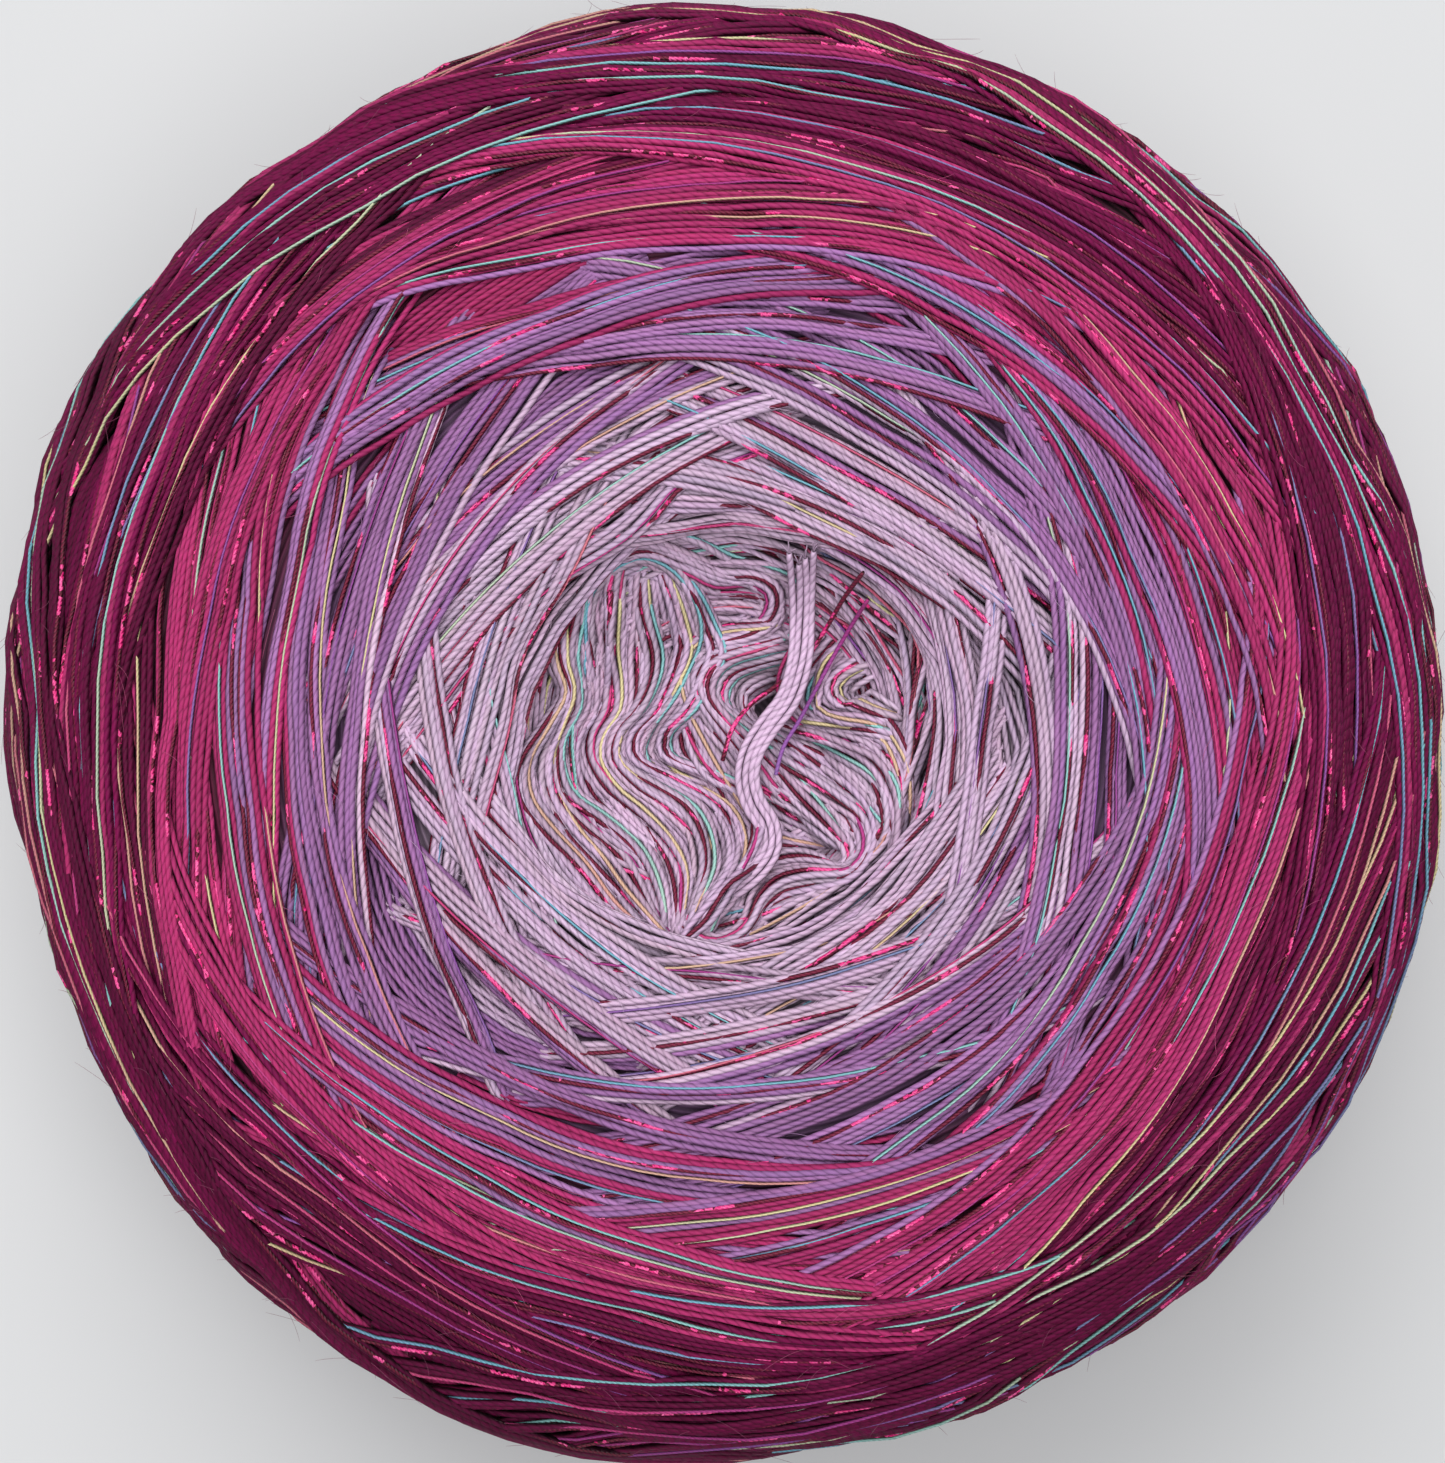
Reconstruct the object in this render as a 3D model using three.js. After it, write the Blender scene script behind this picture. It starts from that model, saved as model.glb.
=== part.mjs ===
// A cross-wound cake of gradient yarn, lying on its flat end, with the core drawn out of its middle.
// The inner turns have slumped into the hollow as wavy folds, and the cut inner end of the yarn lies over them.
// Millimetres, +Z up, origin in the middle of the flat end that the cake rests on.
import * as THREE from "three";
import { mergeVertices } from "three/addons/utils/BufferGeometryUtils.js";

// Driving dimensions of the cake
const GIRTH_RADIUS = 65; // half the width at the fullest part of the side
const CAKE_HEIGHT = 72; // from the flat end to the top of the crown
const HOLLOW_RADIUS = 16.5; // the rim of the hollow that the core left
const FLOOR_HEIGHT = 63.4; // between the slumped folds in the hollow
const REST_INNER_RADIUS = 20; // the flat ring that the cake stands on
const REST_OUTER_RADIUS = 46;
const FLOOR_RADIUS = 13.5; // the folds reach their full height out to here
const TOP_LEVEL = 60; // above this, over the whole width, lies the crown with its hollow
const SMOOTH_HEIGHT = 12; // the flattened end keeps the swells off this height, by and by
const AROUND = 116; // steps round the axis

// Driving dimensions of the cut inner end
const YARN_WIDTH = 1.6; // four soft strands side by side
const THREAD_WIDTH = 0.5; // one companion thread
const YARN_SIDES = 8;
const STEPS_PER_WIDTH = 0.45; // rings along a tube, for each width of its length

// The cake's outline from the axis underneath, round the side and over the crown to the axis on top.
// "rings" is how many rings of faces lie between a row and the next.
const OUTLINE = [
  { place: "end dimple", radius: 0, height: 3.6, rings: 1 },
  { place: "end dimple edge", radius: 13, height: 2.6, rings: 1 },
  { place: "rest, inner edge", radius: REST_INNER_RADIUS, height: 0, rings: 2 },
  { place: "rest, outer edge", radius: REST_OUTER_RADIUS, height: 0, rings: 2 },
  { place: "lower edge", radius: 55, height: 2.6, rings: 2 },
  { place: "lower haunch", radius: 61.5, height: 10, rings: 2 },
  { place: "lower side", radius: 64.3, height: 21, rings: 3 },
  { place: "girth", radius: GIRTH_RADIUS, height: 34, rings: 3 },
  { place: "upper side", radius: 63.9, height: 46, rings: 3 },
  { place: "shoulder", radius: 59.6, height: 57, rings: 3 },
  { place: "outer crown", radius: 51, height: 65, rings: 4 },
  { place: "crown", radius: 39, height: 69.6, rings: 5 },
  { place: "inner crown", radius: 26, height: CAKE_HEIGHT - 0.4, rings: 4 },
  { place: "lip", radius: 18.6, height: CAKE_HEIGHT - 0.9, rings: 2 },
  { place: "rim of the hollow", radius: HOLLOW_RADIUS, height: 69.8, rings: 2 },
  { place: "wall of the hollow", radius: 14.2, height: 66, rings: 2 },
  { place: "edge of the floor", radius: 12, height: FLOOR_HEIGHT, rings: 8 },
  { place: "middle of the floor", radius: 0, height: FLOOR_HEIGHT, rings: 0 },
];

// Two sets of swells that cross each other, where bundles of turns pile up
const SWELL_COUNT = 14; // of each set, round the cake
const SWELL_RISE = 0.8;
const SWELL_TURN = 1.5 * Math.PI; // how far a swell travels round the axis, from rest to hollow
const SWELL_ON_CROWN = 0.4; // the share of a swell that is left on the crown

// Fuller and leaner stretches of the side, by their bearing in degrees, full outside the second radius
const BULGE_RADII = [35, 58];
const BULGES = [
  { bearing: 133, spread: 26, rise: 0.9 },
  { bearing: 62, spread: 20, rise: 0.35 },
  { bearing: 230, spread: 24, rise: 0.25 },
  { bearing: 192, spread: 18, rise: -0.35 },
  { bearing: 345, spread: 30, rise: -0.3 },
];

// The straight bundles round the hollow: bearing and distance of the bundle's middle from the axis,
// half its length along its own line, its half width, and how far it stands proud. They fade between two radii.
const BUNDLE_RADII = [38, 48];
const BUNDLES = [
  { bearing: 191, distance: 17.9, reach: 15, width: 1.5, rise: 1.0 },
  { bearing: 130, distance: 18.3, reach: 16, width: 2.0, rise: 1.2 },
  { bearing: 60, distance: 18.2, reach: 17, width: 2.1, rise: 1.2 },
  { bearing: 4, distance: 18.6, reach: 15, width: 1.7, rise: 0.9 },
  { bearing: 311, distance: 17.2, reach: 15, width: 1.9, rise: 0.9 },
  { bearing: 263, distance: 17.7, reach: 17, width: 1.6, rise: 1.1 },
  { bearing: 191, distance: 26.2, reach: 16, width: 1.8, rise: 0.9 },
  { bearing: 96, distance: 22.0, reach: 14, width: 2.2, rise: 0.7 },
  { bearing: 236, distance: 24.5, reach: 18, width: 2.4, rise: 0.7 },
  { bearing: 335, distance: 25.0, reach: 18, width: 2.6, rise: 0.7 },
  { bearing: 28, distance: 27.0, reach: 18, width: 2.8, rise: 0.6 },
  { bearing: 150, distance: 29.5, reach: 20, width: 2.8, rise: 0.6 },
  { bearing: 80, distance: 31.0, reach: 20, width: 2.6, rise: 0.6 },
  { bearing: 285, distance: 31.0, reach: 22, width: 2.8, rise: 0.6 },
];

// The folds in the hollow, each along a smooth route, with its half width and how far it stands proud
const FOLDS = [
  {
    fold: "long fold, head",
    route: [[-11.5, 6.3], [-11.7, 11.4], [-7.8, 14.2], [-3.6, 11.8], [-3.6, 4.6]],
    width: 1.4,
    rise: 2.6,
  },
  {
    fold: "long fold",
    route: [[-8.4, 7.6], [-8.3, 3.4], [-9.6, -1.2], [-5.8, -5.2], [-1.9, -9.2], [-2.0, -12.2]],
    width: 2.5,
    rise: 3.0,
  },
  {
    fold: "long fold, foot",
    route: [[-3.4, -12.0], [-4.3, -15.0], [-1.4, -17.2], [1.6, -15.8]],
    width: 1.3,
    rise: 2.4,
  },
  {
    fold: "turned fold, head",
    route: [[-4.8, 13.6], [-1.2, 11.9], [2.6, 12.7], [4.0, 10.4], [-0.6, 7.4]],
    width: 1.3,
    rise: 2.8,
  },
  {
    fold: "turned fold",
    route: [[-0.6, 7.4], [-2.6, 5.0], [-0.8, 1.6], [2.6, -1.6], [5.8, -4.2]],
    width: 2.1,
    rise: 2.9,
  },
  {
    fold: "turned fold, foot",
    route: [[5.8, -1.4], [10.0, -4.2], [11.9, -7.4], [9.6, -11.8], [3.4, -13.2], [1.2, -15.6]],
    width: 1.7,
    rise: 2.6,
  },
  {
    fold: "middle fold",
    route: [[-3.7, 1.1], [-0.9, -2.5], [1.6, -5.8], [2.0, -8.6], [0.2, -12.0]],
    width: 1.4,
    rise: 2.3,
  },
  {
    fold: "upper right fold",
    route: [[3.2, 6.6], [7.4, 6.8], [7.7, 3.2], [10.4, 1.2], [13.6, 0.4]],
    width: 1.3,
    rise: 2.3,
  },
  {
    fold: "left fold",
    route: [[-13.2, 4.4], [-13.8, 1.0], [-15.4, -2.4], [-14.9, -6.0]],
    width: 1.5,
    rise: 1.8,
  },
  {
    fold: "lower left fold",
    route: [[-12.6, -4.0], [-10.8, -8.2], [-7.8, -12.4], [-5.6, -15.2]],
    width: 1.8,
    rise: 2.2,
  },
  {
    fold: "right fold",
    route: [[6.2, 1.0], [10.4, 0.0], [13.4, -2.8], [14.2, -6.2]],
    width: 1.8,
    rise: 2.2,
  },
];
const ROUTE_STEPS = 24; // places looked at along a fold

// The dark pockets that the folds turn about: place, heading in degrees, half length, half width and depth
const POCKETS = [
  { pocket: "in the long fold's head", x: -6.8, y: 12.0, heading: 170, long: 2.0, wide: 0.9, depth: 3.0 },
  { pocket: "in the turned fold's head", x: 1.8, y: 10.0, heading: 20, long: 2.0, wide: 0.9, depth: 2.6 },
  { pocket: "in the turned fold's bend", x: 2.1, y: 3.9, heading: 40, long: 1.9, wide: 1.0, depth: 1.8 },
  { pocket: "by the right wall", x: 9.0, y: 3.6, heading: 150, long: 2.6, wide: 1.3, depth: 2.8 },
  { pocket: "between the long folds", x: -4.8, y: -1.6, heading: 65, long: 2.4, wide: 0.9, depth: 2.2 },
  { pocket: "in the turned fold's foot", x: 7.4, y: -9.8, heading: 165, long: 3.0, wide: 0.9, depth: 2.2 },
  { pocket: "in the long fold's foot", x: -1.9, y: -14.8, heading: 15, long: 1.7, wide: 0.8, depth: 2.2 },
  { pocket: "beside the lower left fold", x: -10.4, y: -8.4, heading: 120, long: 2.0, wide: 0.8, depth: 1.6 },
  { pocket: "by the left wall", x: -14.0, y: 3.0, heading: 80, long: 2.4, wide: 0.9, depth: 1.8 },
];

// Routes of the cut inner end and of its two companion threads, from where each leaves the folds
const SOFT_END_ROUTE = [
  [0.0, -13.0, 68.5], [1.2, -12.1, 67.8], [2.5, -10.9, 67.0], [3.4, -9.4, 66.5],
  [3.3, -7.6, 66.4], [2.2, -5.7, 66.7], [1.7, -3.6, 67.1], [2.0, -1.7, 67.4],
  [3.3, 0.6, 67.1], [4.9, 2.8, 66.9], [5.9, 5.9, 67.2], [6.2, 9.3, 67.3],
  [6.2, 12.0, 68.8], [6.0, 14.8, 71.9],
];
const GLITTER_END_ROUTE = [
  [-0.4, -2.2, 66.2], [0.4, 0.4, 66.95], [1.9, 2.4, 66.0], [3.8, 3.8, 65.2],
  [5.9, 5.4, 65.5], [7.9, 8.3, 66.0], [9.6, 11.2, 68.9], [11.0, 13.1, 72.6],
];
const DYED_END_ROUTE = [
  [4.0, -3.4, 66.7], [4.6, -1.2, 66.4], [5.9, 1.0, 65.9], [7.2, 3.4, 65.1],
  [8.8, 6.4, 65.2], [10.4, 9.2, 67.1], [11.5, 11.0, 70.6],
];

// The wound body: a turned outline, then lifted and lowered point by point

const radians = THREE.MathUtils.degToRad;

function smoothStep(low, high, value) {
  const share = Math.min(1, Math.max(0, (value - low) / (high - low)));
  return share * share * (3 - 2 * share);
}

function bell(distance, halfWidth) {
  return Math.exp(-0.5 * (distance / halfWidth) ** 2);
}

// The rings of the outline as Vector2, on a smooth curve through its rows and never under the rest
function outlinePoints() {
  const rows = OUTLINE.map((row) => new THREE.Vector3(row.radius, row.height, 0));
  const curve = new THREE.CatmullRomCurve3(rows, false, "centripetal");
  const spans = OUTLINE.length - 1;
  const points = [];
  OUTLINE.forEach((row, index) => {
    for (let step = 0; step < Math.max(1, row.rings); step++) {
      const at = curve.getPoint((index + step / Math.max(1, row.rings)) / spans);
      points.push(new THREE.Vector2(Math.max(0, at.x), Math.max(0, at.y)));
    }
  });
  points[0].x = 0;
  points[points.length - 1].x = 0;
  return points;
}

// How far along the outline each ring lies, from 0 underneath to 1 on top, with its outward direction
function ringFacts(points) {
  const lengths = [0];
  for (let i = 1; i < points.length; i++) {
    lengths.push(lengths[i - 1] + points[i].distanceTo(points[i - 1]));
  }
  return points.map((point, i) => {
    const before = points[Math.max(0, i - 1)];
    const after = points[Math.min(points.length - 1, i + 1)];
    const along = after.clone().sub(before).normalize();
    return {
      share: lengths[i] / lengths[lengths.length - 1],
      outward: new THREE.Vector2(along.y, -along.x),
    };
  });
}

// Ridges of the crossing windings at a bearing and a share of the outline
function swell(bearing, share) {
  const turn = SWELL_TURN * share;
  const up = Math.cos(SWELL_COUNT * (bearing - turn));
  const down = Math.cos(SWELL_COUNT * (bearing + turn) + 1);
  return SWELL_RISE * Math.max(up, down);
}

function bulge(bearing) {
  return BULGES.reduce((sum, row) => {
    const apart = Math.atan2(
      Math.sin(bearing - radians(row.bearing)),
      Math.cos(bearing - radians(row.bearing)),
    );
    return sum + row.rise * bell(apart, radians(row.spread));
  }, 0);
}

// The highest of the straight bundles at a place on the crown
function bundleRise(x, y) {
  return BUNDLES.reduce((highest, row) => {
    const cos = Math.cos(radians(row.bearing));
    const sin = Math.sin(radians(row.bearing));
    const across = x * cos + y * sin - row.distance;
    const along = Math.abs(y * cos - x * sin);
    const held = 1 - smoothStep(0.6 * row.reach, row.reach, along);
    return Math.max(highest, row.rise * bell(across, row.width) * held);
  }, 0);
}

function routeCurve(route) {
  return new THREE.CatmullRomCurve3(
    route.map(([x, y, z = 0]) => new THREE.Vector3(x, y, z)),
    false,
    "centripetal",
  );
}

const foldLines = FOLDS.map((row) => ({ ...row, line: routeCurve(row.route).getPoints(ROUTE_STEPS) }));

// The folds and the pockets between them, as a height over the plain floor
function foldRise(x, y) {
  const highest = foldLines.reduce((most, row) => {
    const nearest = Math.min(...row.line.map((point) => Math.hypot(x - point.x, y - point.y)));
    return Math.max(most, row.rise * bell(nearest, row.width));
  }, 0);
  return POCKETS.reduce((height, row) => {
    const cos = Math.cos(radians(row.heading));
    const sin = Math.sin(radians(row.heading));
    const along = (x - row.x) * cos + (y - row.y) * sin;
    const across = (y - row.y) * cos - (x - row.x) * sin;
    return height - row.depth * bell(along, row.long / 1.5) * bell(across, row.wide / 1.2);
  }, highest);
}

function cakeGeometry() {
  const points = outlinePoints();
  const facts = ringFacts(points);
  const turned = new THREE.LatheGeometry(points, AROUND);
  const place = turned.getAttribute("position");
  for (let i = 0; i < place.count; i++) {
    const ring = i % points.length;
    const { share, outward } = facts[ring];
    const { x: radius, y: height } = points[ring];
    // A lathe turns about +Y, so its x and z are laid on the ground plane and its y becomes the height.
    const bearing = (2 * Math.PI * Math.floor(i / points.length)) / AROUND;
    const x = radius * Math.cos(bearing);
    const y = radius * Math.sin(bearing);
    const aboveRest = smoothStep(0, SMOOTH_HEIGHT, height);
    const onTop = smoothStep(TOP_LEVEL - 4, TOP_LEVEL + 2, height);
    const onCrown = onTop * smoothStep(HOLLOW_RADIUS - 2, HOLLOW_RADIUS, radius);
    const inHollow = onTop * (1 - smoothStep(FLOOR_RADIUS, HOLLOW_RADIUS + 1, radius));
    const outsideHollow = smoothStep(HOLLOW_RADIUS - 1, HOLLOW_RADIUS + 5, radius);
    const swellShare = aboveRest * outsideHollow * (1 - (1 - SWELL_ON_CROWN) * onCrown);
    const bulgeShare = aboveRest * smoothStep(...BULGE_RADII, radius);
    const bundleShare = onCrown * (1 - smoothStep(...BUNDLE_RADII, radius));
    const side = swell(bearing, share) * swellShare + bulge(bearing) * bulgeShare;
    const lift = bundleRise(x, y) * bundleShare + foldRise(x, y) * inHollow;
    const out = side * outward.x;
    const up = side * outward.y + lift;
    place.setXYZ(
      i,
      x + out * Math.cos(bearing),
      y + out * Math.sin(bearing),
      height + up,
    );
  }
  turned.deleteAttribute("normal");
  turned.deleteAttribute("uv");
  turned.computeBoundingBox();
  const middle = turned.boundingBox.getCenter(new THREE.Vector3());
  turned.translate(-middle.x, -middle.y, 0);
  return mergeVertices(turned, 1e-3);
}

// A round tube along a route, with flat ends
function tubeGeometry(route, width) {
  const curve = routeCurve(route);
  const section = new THREE.Shape();
  for (let side = 0; side < YARN_SIDES; side++) {
    const turn = (2 * Math.PI * side) / YARN_SIDES;
    const x = (width / 2) * Math.cos(turn);
    const y = (width / 2) * Math.sin(turn);
    if (side === 0) section.moveTo(x, y);
    else section.lineTo(x, y);
  }
  section.closePath();
  return new THREE.ExtrudeGeometry(section, {
    steps: Math.round((curve.getLength() / width) * STEPS_PER_WIDTH),
    extrudePath: curve,
    bevelEnabled: false,
  });
}

function named(name, geometry, colour, roughness, metalness) {
  const material = new THREE.MeshStandardMaterial({ color: colour, roughness, metalness });
  const mesh = new THREE.Mesh(geometry, material);
  mesh.name = name;
  return mesh;
}

const cake = new THREE.Group();
cake.add(named("yarn_cake", cakeGeometry(), "#8f3a6a", 0.85, 0));
cake.add(named("soft_end", tubeGeometry(SOFT_END_ROUTE, YARN_WIDTH), "#c4a8c6", 0.9, 0));
cake.add(named("glitter_end", tubeGeometry(GLITTER_END_ROUTE, THREAD_WIDTH), "#7d1233", 0.4, 0));
cake.add(named("dyed_end", tubeGeometry(DYED_END_ROUTE, THREAD_WIDTH), "#a84a90", 0.9, 0));

export default cake;
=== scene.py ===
# The camera, straight above the hollow end of the cake, as the photograph was taken.
# One frame serves everything: metres, +Z up through the hollow, origin under the cake.
import math

import bmesh
import bpy
import numpy as np
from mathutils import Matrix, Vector
from mathutils.bvhtree import BVHTree


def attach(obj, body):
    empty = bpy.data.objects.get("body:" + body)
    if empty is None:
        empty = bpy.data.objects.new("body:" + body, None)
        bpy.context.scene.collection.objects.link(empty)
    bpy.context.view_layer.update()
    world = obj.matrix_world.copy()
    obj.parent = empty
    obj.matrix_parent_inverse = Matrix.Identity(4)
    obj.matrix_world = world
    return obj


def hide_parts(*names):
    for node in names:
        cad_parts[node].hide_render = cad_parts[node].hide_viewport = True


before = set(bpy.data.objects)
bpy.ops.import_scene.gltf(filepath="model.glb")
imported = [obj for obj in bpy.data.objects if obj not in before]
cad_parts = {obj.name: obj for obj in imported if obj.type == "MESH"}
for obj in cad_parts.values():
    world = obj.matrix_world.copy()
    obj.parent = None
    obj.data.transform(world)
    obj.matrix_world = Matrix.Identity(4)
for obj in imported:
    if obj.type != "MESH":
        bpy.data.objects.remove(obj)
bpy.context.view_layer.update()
# Shapes are worked out in millimetres, and each is brought to metres as it is made.
MM = 0.001

camera = bpy.data.objects.new("camera", bpy.data.cameras.new("camera"))
camera.data.sensor_width = 36
camera.data.lens = 81.3
camera.data.clip_start = 0.01
camera.location = (-0.0004, 0.0002, 0.340)
bpy.context.scene.collection.objects.link(camera)
bpy.context.scene.camera = camera

# The soft inner end: four two-ply strands of cotton and acrylic, side by side and not twisted together.
# They come up out of the hollow at its foot, lie loose over the folds and end in frayed cut tips at the rim.
SOFT_RADIUS = 0.30
SOFT_PITCH = 0.585
LILAC = (0.605, 0.422, 0.59)
SOFT_END_ROUTE = [
    (0.0, -13.0, 68.5),
    (1.2, -12.1, 67.8),
    (2.5, -10.9, 67.0),
    (3.4, -9.4, 66.5),
    (3.3, -7.6, 66.4),
    (2.2, -5.7, 66.7),
    (1.7, -3.6, 67.1),
    (2.0, -1.7, 67.4),
    (3.3, 0.6, 67.1),
    (4.9, 2.8, 66.9),
    (5.9, 5.9, 67.2),
    (6.2, 9.3, 67.3),
    (6.2, 12.0, 68.8),
    (6.0, 14.8, 71.9),
]


def curved(rows, slope, k, t, width=1.0):
    """Points on a smooth curve through rows of numbers, each a share t of the way from row k to the next."""
    return (
        (2 * t**3 - 3 * t**2 + 1) * rows[k]
        + (t**3 - 2 * t**2 + t) * width * slope[k]
        + (3 * t**2 - 2 * t**3) * rows[k + 1]
        + (t**3 - t**2) * width * slope[k + 1]
    )


def smooth_line(rows, spacing):
    """A smooth line through rows of numbers, evenly spaced along the first three of them."""
    rows = np.asarray(rows, float)
    reach = np.linalg.norm(np.diff(rows[:, :3], axis=0), axis=1)
    knots = np.concatenate([[0], np.cumsum(np.maximum(reach, 0.001))])
    slope = np.gradient(rows, knots, axis=0)
    fine = np.linspace(0, knots[-1], 24 * len(rows))
    k = np.clip(np.searchsorted(knots, fine, side="right") - 1, 0, len(rows) - 2)
    width = (knots[k + 1] - knots[k])[:, None]
    t = ((fine - knots[k]) / width[:, 0])[:, None]
    return respaced(curved(rows, slope, k, t, width), spacing)


def respaced(line, spacing):
    """The same line with its points evenly spaced."""
    step = np.linalg.norm(np.diff(line[:, :3], axis=0), axis=1)
    run = np.concatenate([[0], np.cumsum(step)])
    count = max(3, int(round(run[-1] / spacing)) + 1)
    even = np.linspace(0, run[-1], count)
    return np.stack([np.interp(even, run, line[:, c]) for c in range(line.shape[1])], axis=1)


def unit(vectors):
    return vectors / np.maximum(np.linalg.norm(vectors, axis=-1, keepdims=True), 1e-9)


def thread(line, up, radius, tint, start=0.0, taper=0.0):
    """One thread to be joined into a piece, its line and radius in millimetres."""
    line = np.asarray(line, float)
    radii = np.full(len(line), float(radius))
    if taper:
        radii[-1] *= taper
    return {
        "line": line,
        "up": np.broadcast_to(np.asarray(up, float), line.shape),
        "radii": radii,
        "tint": np.broadcast_to(np.asarray(tint, float), line.shape),
        "start": start,
    }


def threads_piece(name, threads, sides, material):
    """Joins threads into one mesh of closed tubes, with their colours and two UV maps.

    "Thread" gives the distance along a thread in millimetres and the share of the way round it.
    "OFBake" lays the threads out in rows that don't overlap.
    """
    places, corners, counts, thread_uv, bake_uv, tints = [], [], [], [], [], []
    angle = 2 * np.pi * np.arange(sides) / sides
    row_height = 2 * np.pi * float(np.mean([t["radii"].mean() for t in threads])) * 1.12
    lengths = [np.linalg.norm(np.diff(t["line"], axis=0), axis=1) for t in threads]
    gap = 1.0
    total = sum(run.sum() + gap for run in lengths)
    row_length = math.sqrt(total * row_height * 1.02) + 1
    square = row_length + max(run.max() for run in lengths) + gap
    square = max(square, (total / row_length + 2) * row_height)
    first, travelled = 0, 0.0
    j = np.arange(sides)
    for t, run in zip(threads, lengths):
        line, count = t["line"], len(t["line"])
        along = unit(np.gradient(line, axis=0))
        across = unit(np.cross(along, t["up"]))
        outward = np.cross(across, along)
        ring = line[:, None] + t["radii"][:, None, None] * (
            np.cos(angle)[None, :, None] * outward[:, None] + np.sin(angle)[None, :, None] * across[:, None]
        )
        places.append(ring.reshape(-1, 3))
        tints.append(np.repeat(t["tint"], sides, axis=0))
        i = np.arange(count - 1)[:, None]
        here, turn = first + i * sides, (j + 1) % sides
        quads = np.stack([here + j, here + turn, here + sides + turn, here + sides + j], axis=-1)
        corners.append(quads.reshape(-1))
        counts.append(np.full((count - 1) * sides, 4))
        at = np.concatenate([[0], np.cumsum(run)])
        u0 = np.broadcast_to(at[:-1, None], (count - 1, sides))
        u1 = np.broadcast_to(at[1:, None], (count - 1, sides))
        v0 = np.broadcast_to(j / sides, (count - 1, sides))
        v1 = v0 + 1 / sides
        u = np.stack([u0, u0, u1, u1], axis=-1)
        v = np.stack([v0, v1, v1, v0], axis=-1)
        thread_uv.append(np.stack([u + t["start"], v], axis=-1).reshape(-1, 2))
        row, column = np.divmod(travelled + gap / 2 + at[:-1], row_length)
        x = np.stack([u0, u0, u1, u1], axis=-1) - u0[..., None] + column[:, None, None]
        y = (row[:, None, None] + 0.03 + 0.94 * v) * row_height
        bake_uv.append((np.stack([x, y], axis=-1) / square).reshape(-1, 2))
        for end, order in ((0, j[::-1]), (count - 1, j)):
            corners.append(first + end * sides + order)
            counts.append(np.array([sides]))
            thread_uv.append(np.stack([np.full(sides, at[end] + t["start"]), order / sides], axis=-1))
            edge_row, edge = np.divmod(travelled + gap / 2 + at[max(end - 1, 0)], row_length)
            edge += 0.0 if end == 0 else run[-1]
            bulge = 0.3 * np.sin(np.pi * (order + 0.5) / sides) * (-1 if end == 0 else 1)
            rise = (edge_row + 0.1 + 0.8 * (order + 0.5) / sides) * row_height
            bake_uv.append(np.maximum(np.stack([edge + bulge, rise], axis=-1), 0) / square)
        first += count * sides
        travelled += at[-1] + gap
    places, corners, counts = np.concatenate(places) * MM, np.concatenate(corners), np.concatenate(counts)
    mesh = bpy.data.meshes.new(name)
    mesh.vertices.add(len(places))
    mesh.vertices.foreach_set("co", places.ravel())
    mesh.loops.add(len(corners))
    mesh.loops.foreach_set("vertex_index", corners.astype(np.int32))
    mesh.polygons.add(len(counts))
    mesh.polygons.foreach_set("loop_start", np.concatenate([[0], np.cumsum(counts)[:-1]]).astype(np.int32))
    mesh.polygons.foreach_set("use_smooth", np.ones(len(counts), bool))
    for map_name, uv in (("Thread", thread_uv), ("OFBake", bake_uv)):
        layer = mesh.uv_layers.new(name=map_name)
        layer.data.foreach_set("uv", np.concatenate(uv).ravel())
    mesh.uv_layers["Thread"].active_render = True
    colours = mesh.color_attributes.new("tint", "FLOAT_COLOR", "POINT")
    tints = np.concatenate(tints)
    colours.data.foreach_set("color", np.concatenate([tints, np.ones((len(tints), 1))], axis=1).ravel())
    mesh.materials.append(material)
    mesh.update()
    mesh.validate()
    piece = bpy.data.objects.new(name, mesh)
    bpy.context.scene.collection.objects.link(piece)
    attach(piece, "root")
    return piece


def new_group(name, inputs, outputs):
    """A shader node group with named sockets, and its nodes for what comes in and what goes out."""
    group = bpy.data.node_groups.new(name, "ShaderNodeTree")
    for socket, kind, value in inputs:
        made = group.interface.new_socket(name=socket, in_out="INPUT", socket_type=kind)
        if value is not None:
            made.default_value = value
    for socket, kind in outputs:
        group.interface.new_socket(name=socket, in_out="OUTPUT", socket_type=kind)
    return group, group.nodes.new("NodeGroupInput"), group.nodes.new("NodeGroupOutput")


def maths(tree, operation, first, second=0.0, clamp=False):
    """A math node on two values or sockets, and its result."""
    node = tree.nodes.new("ShaderNodeMath")
    node.operation = operation
    node.use_clamp = clamp
    for socket, value in zip(node.inputs, (first, second)):
        if isinstance(value, (int, float)):
            socket.default_value = value
        else:
            tree.links.new(value, socket)
    return node.outputs[0]


def mixed(tree, factor, first, second):
    """A colour mix of two colours or sockets by a factor socket."""
    node = tree.nodes.new("ShaderNodeMix")
    node.data_type = "RGBA"
    for socket, value in ((node.inputs[0], factor), (node.inputs[6], first), (node.inputs[7], second)):
        if isinstance(value, (int, float)):
            socket.default_value = value
        elif isinstance(value, tuple):
            socket.default_value = (*value, 1)
        else:
            tree.links.new(value, socket)
    return node.outputs[2]


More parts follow.
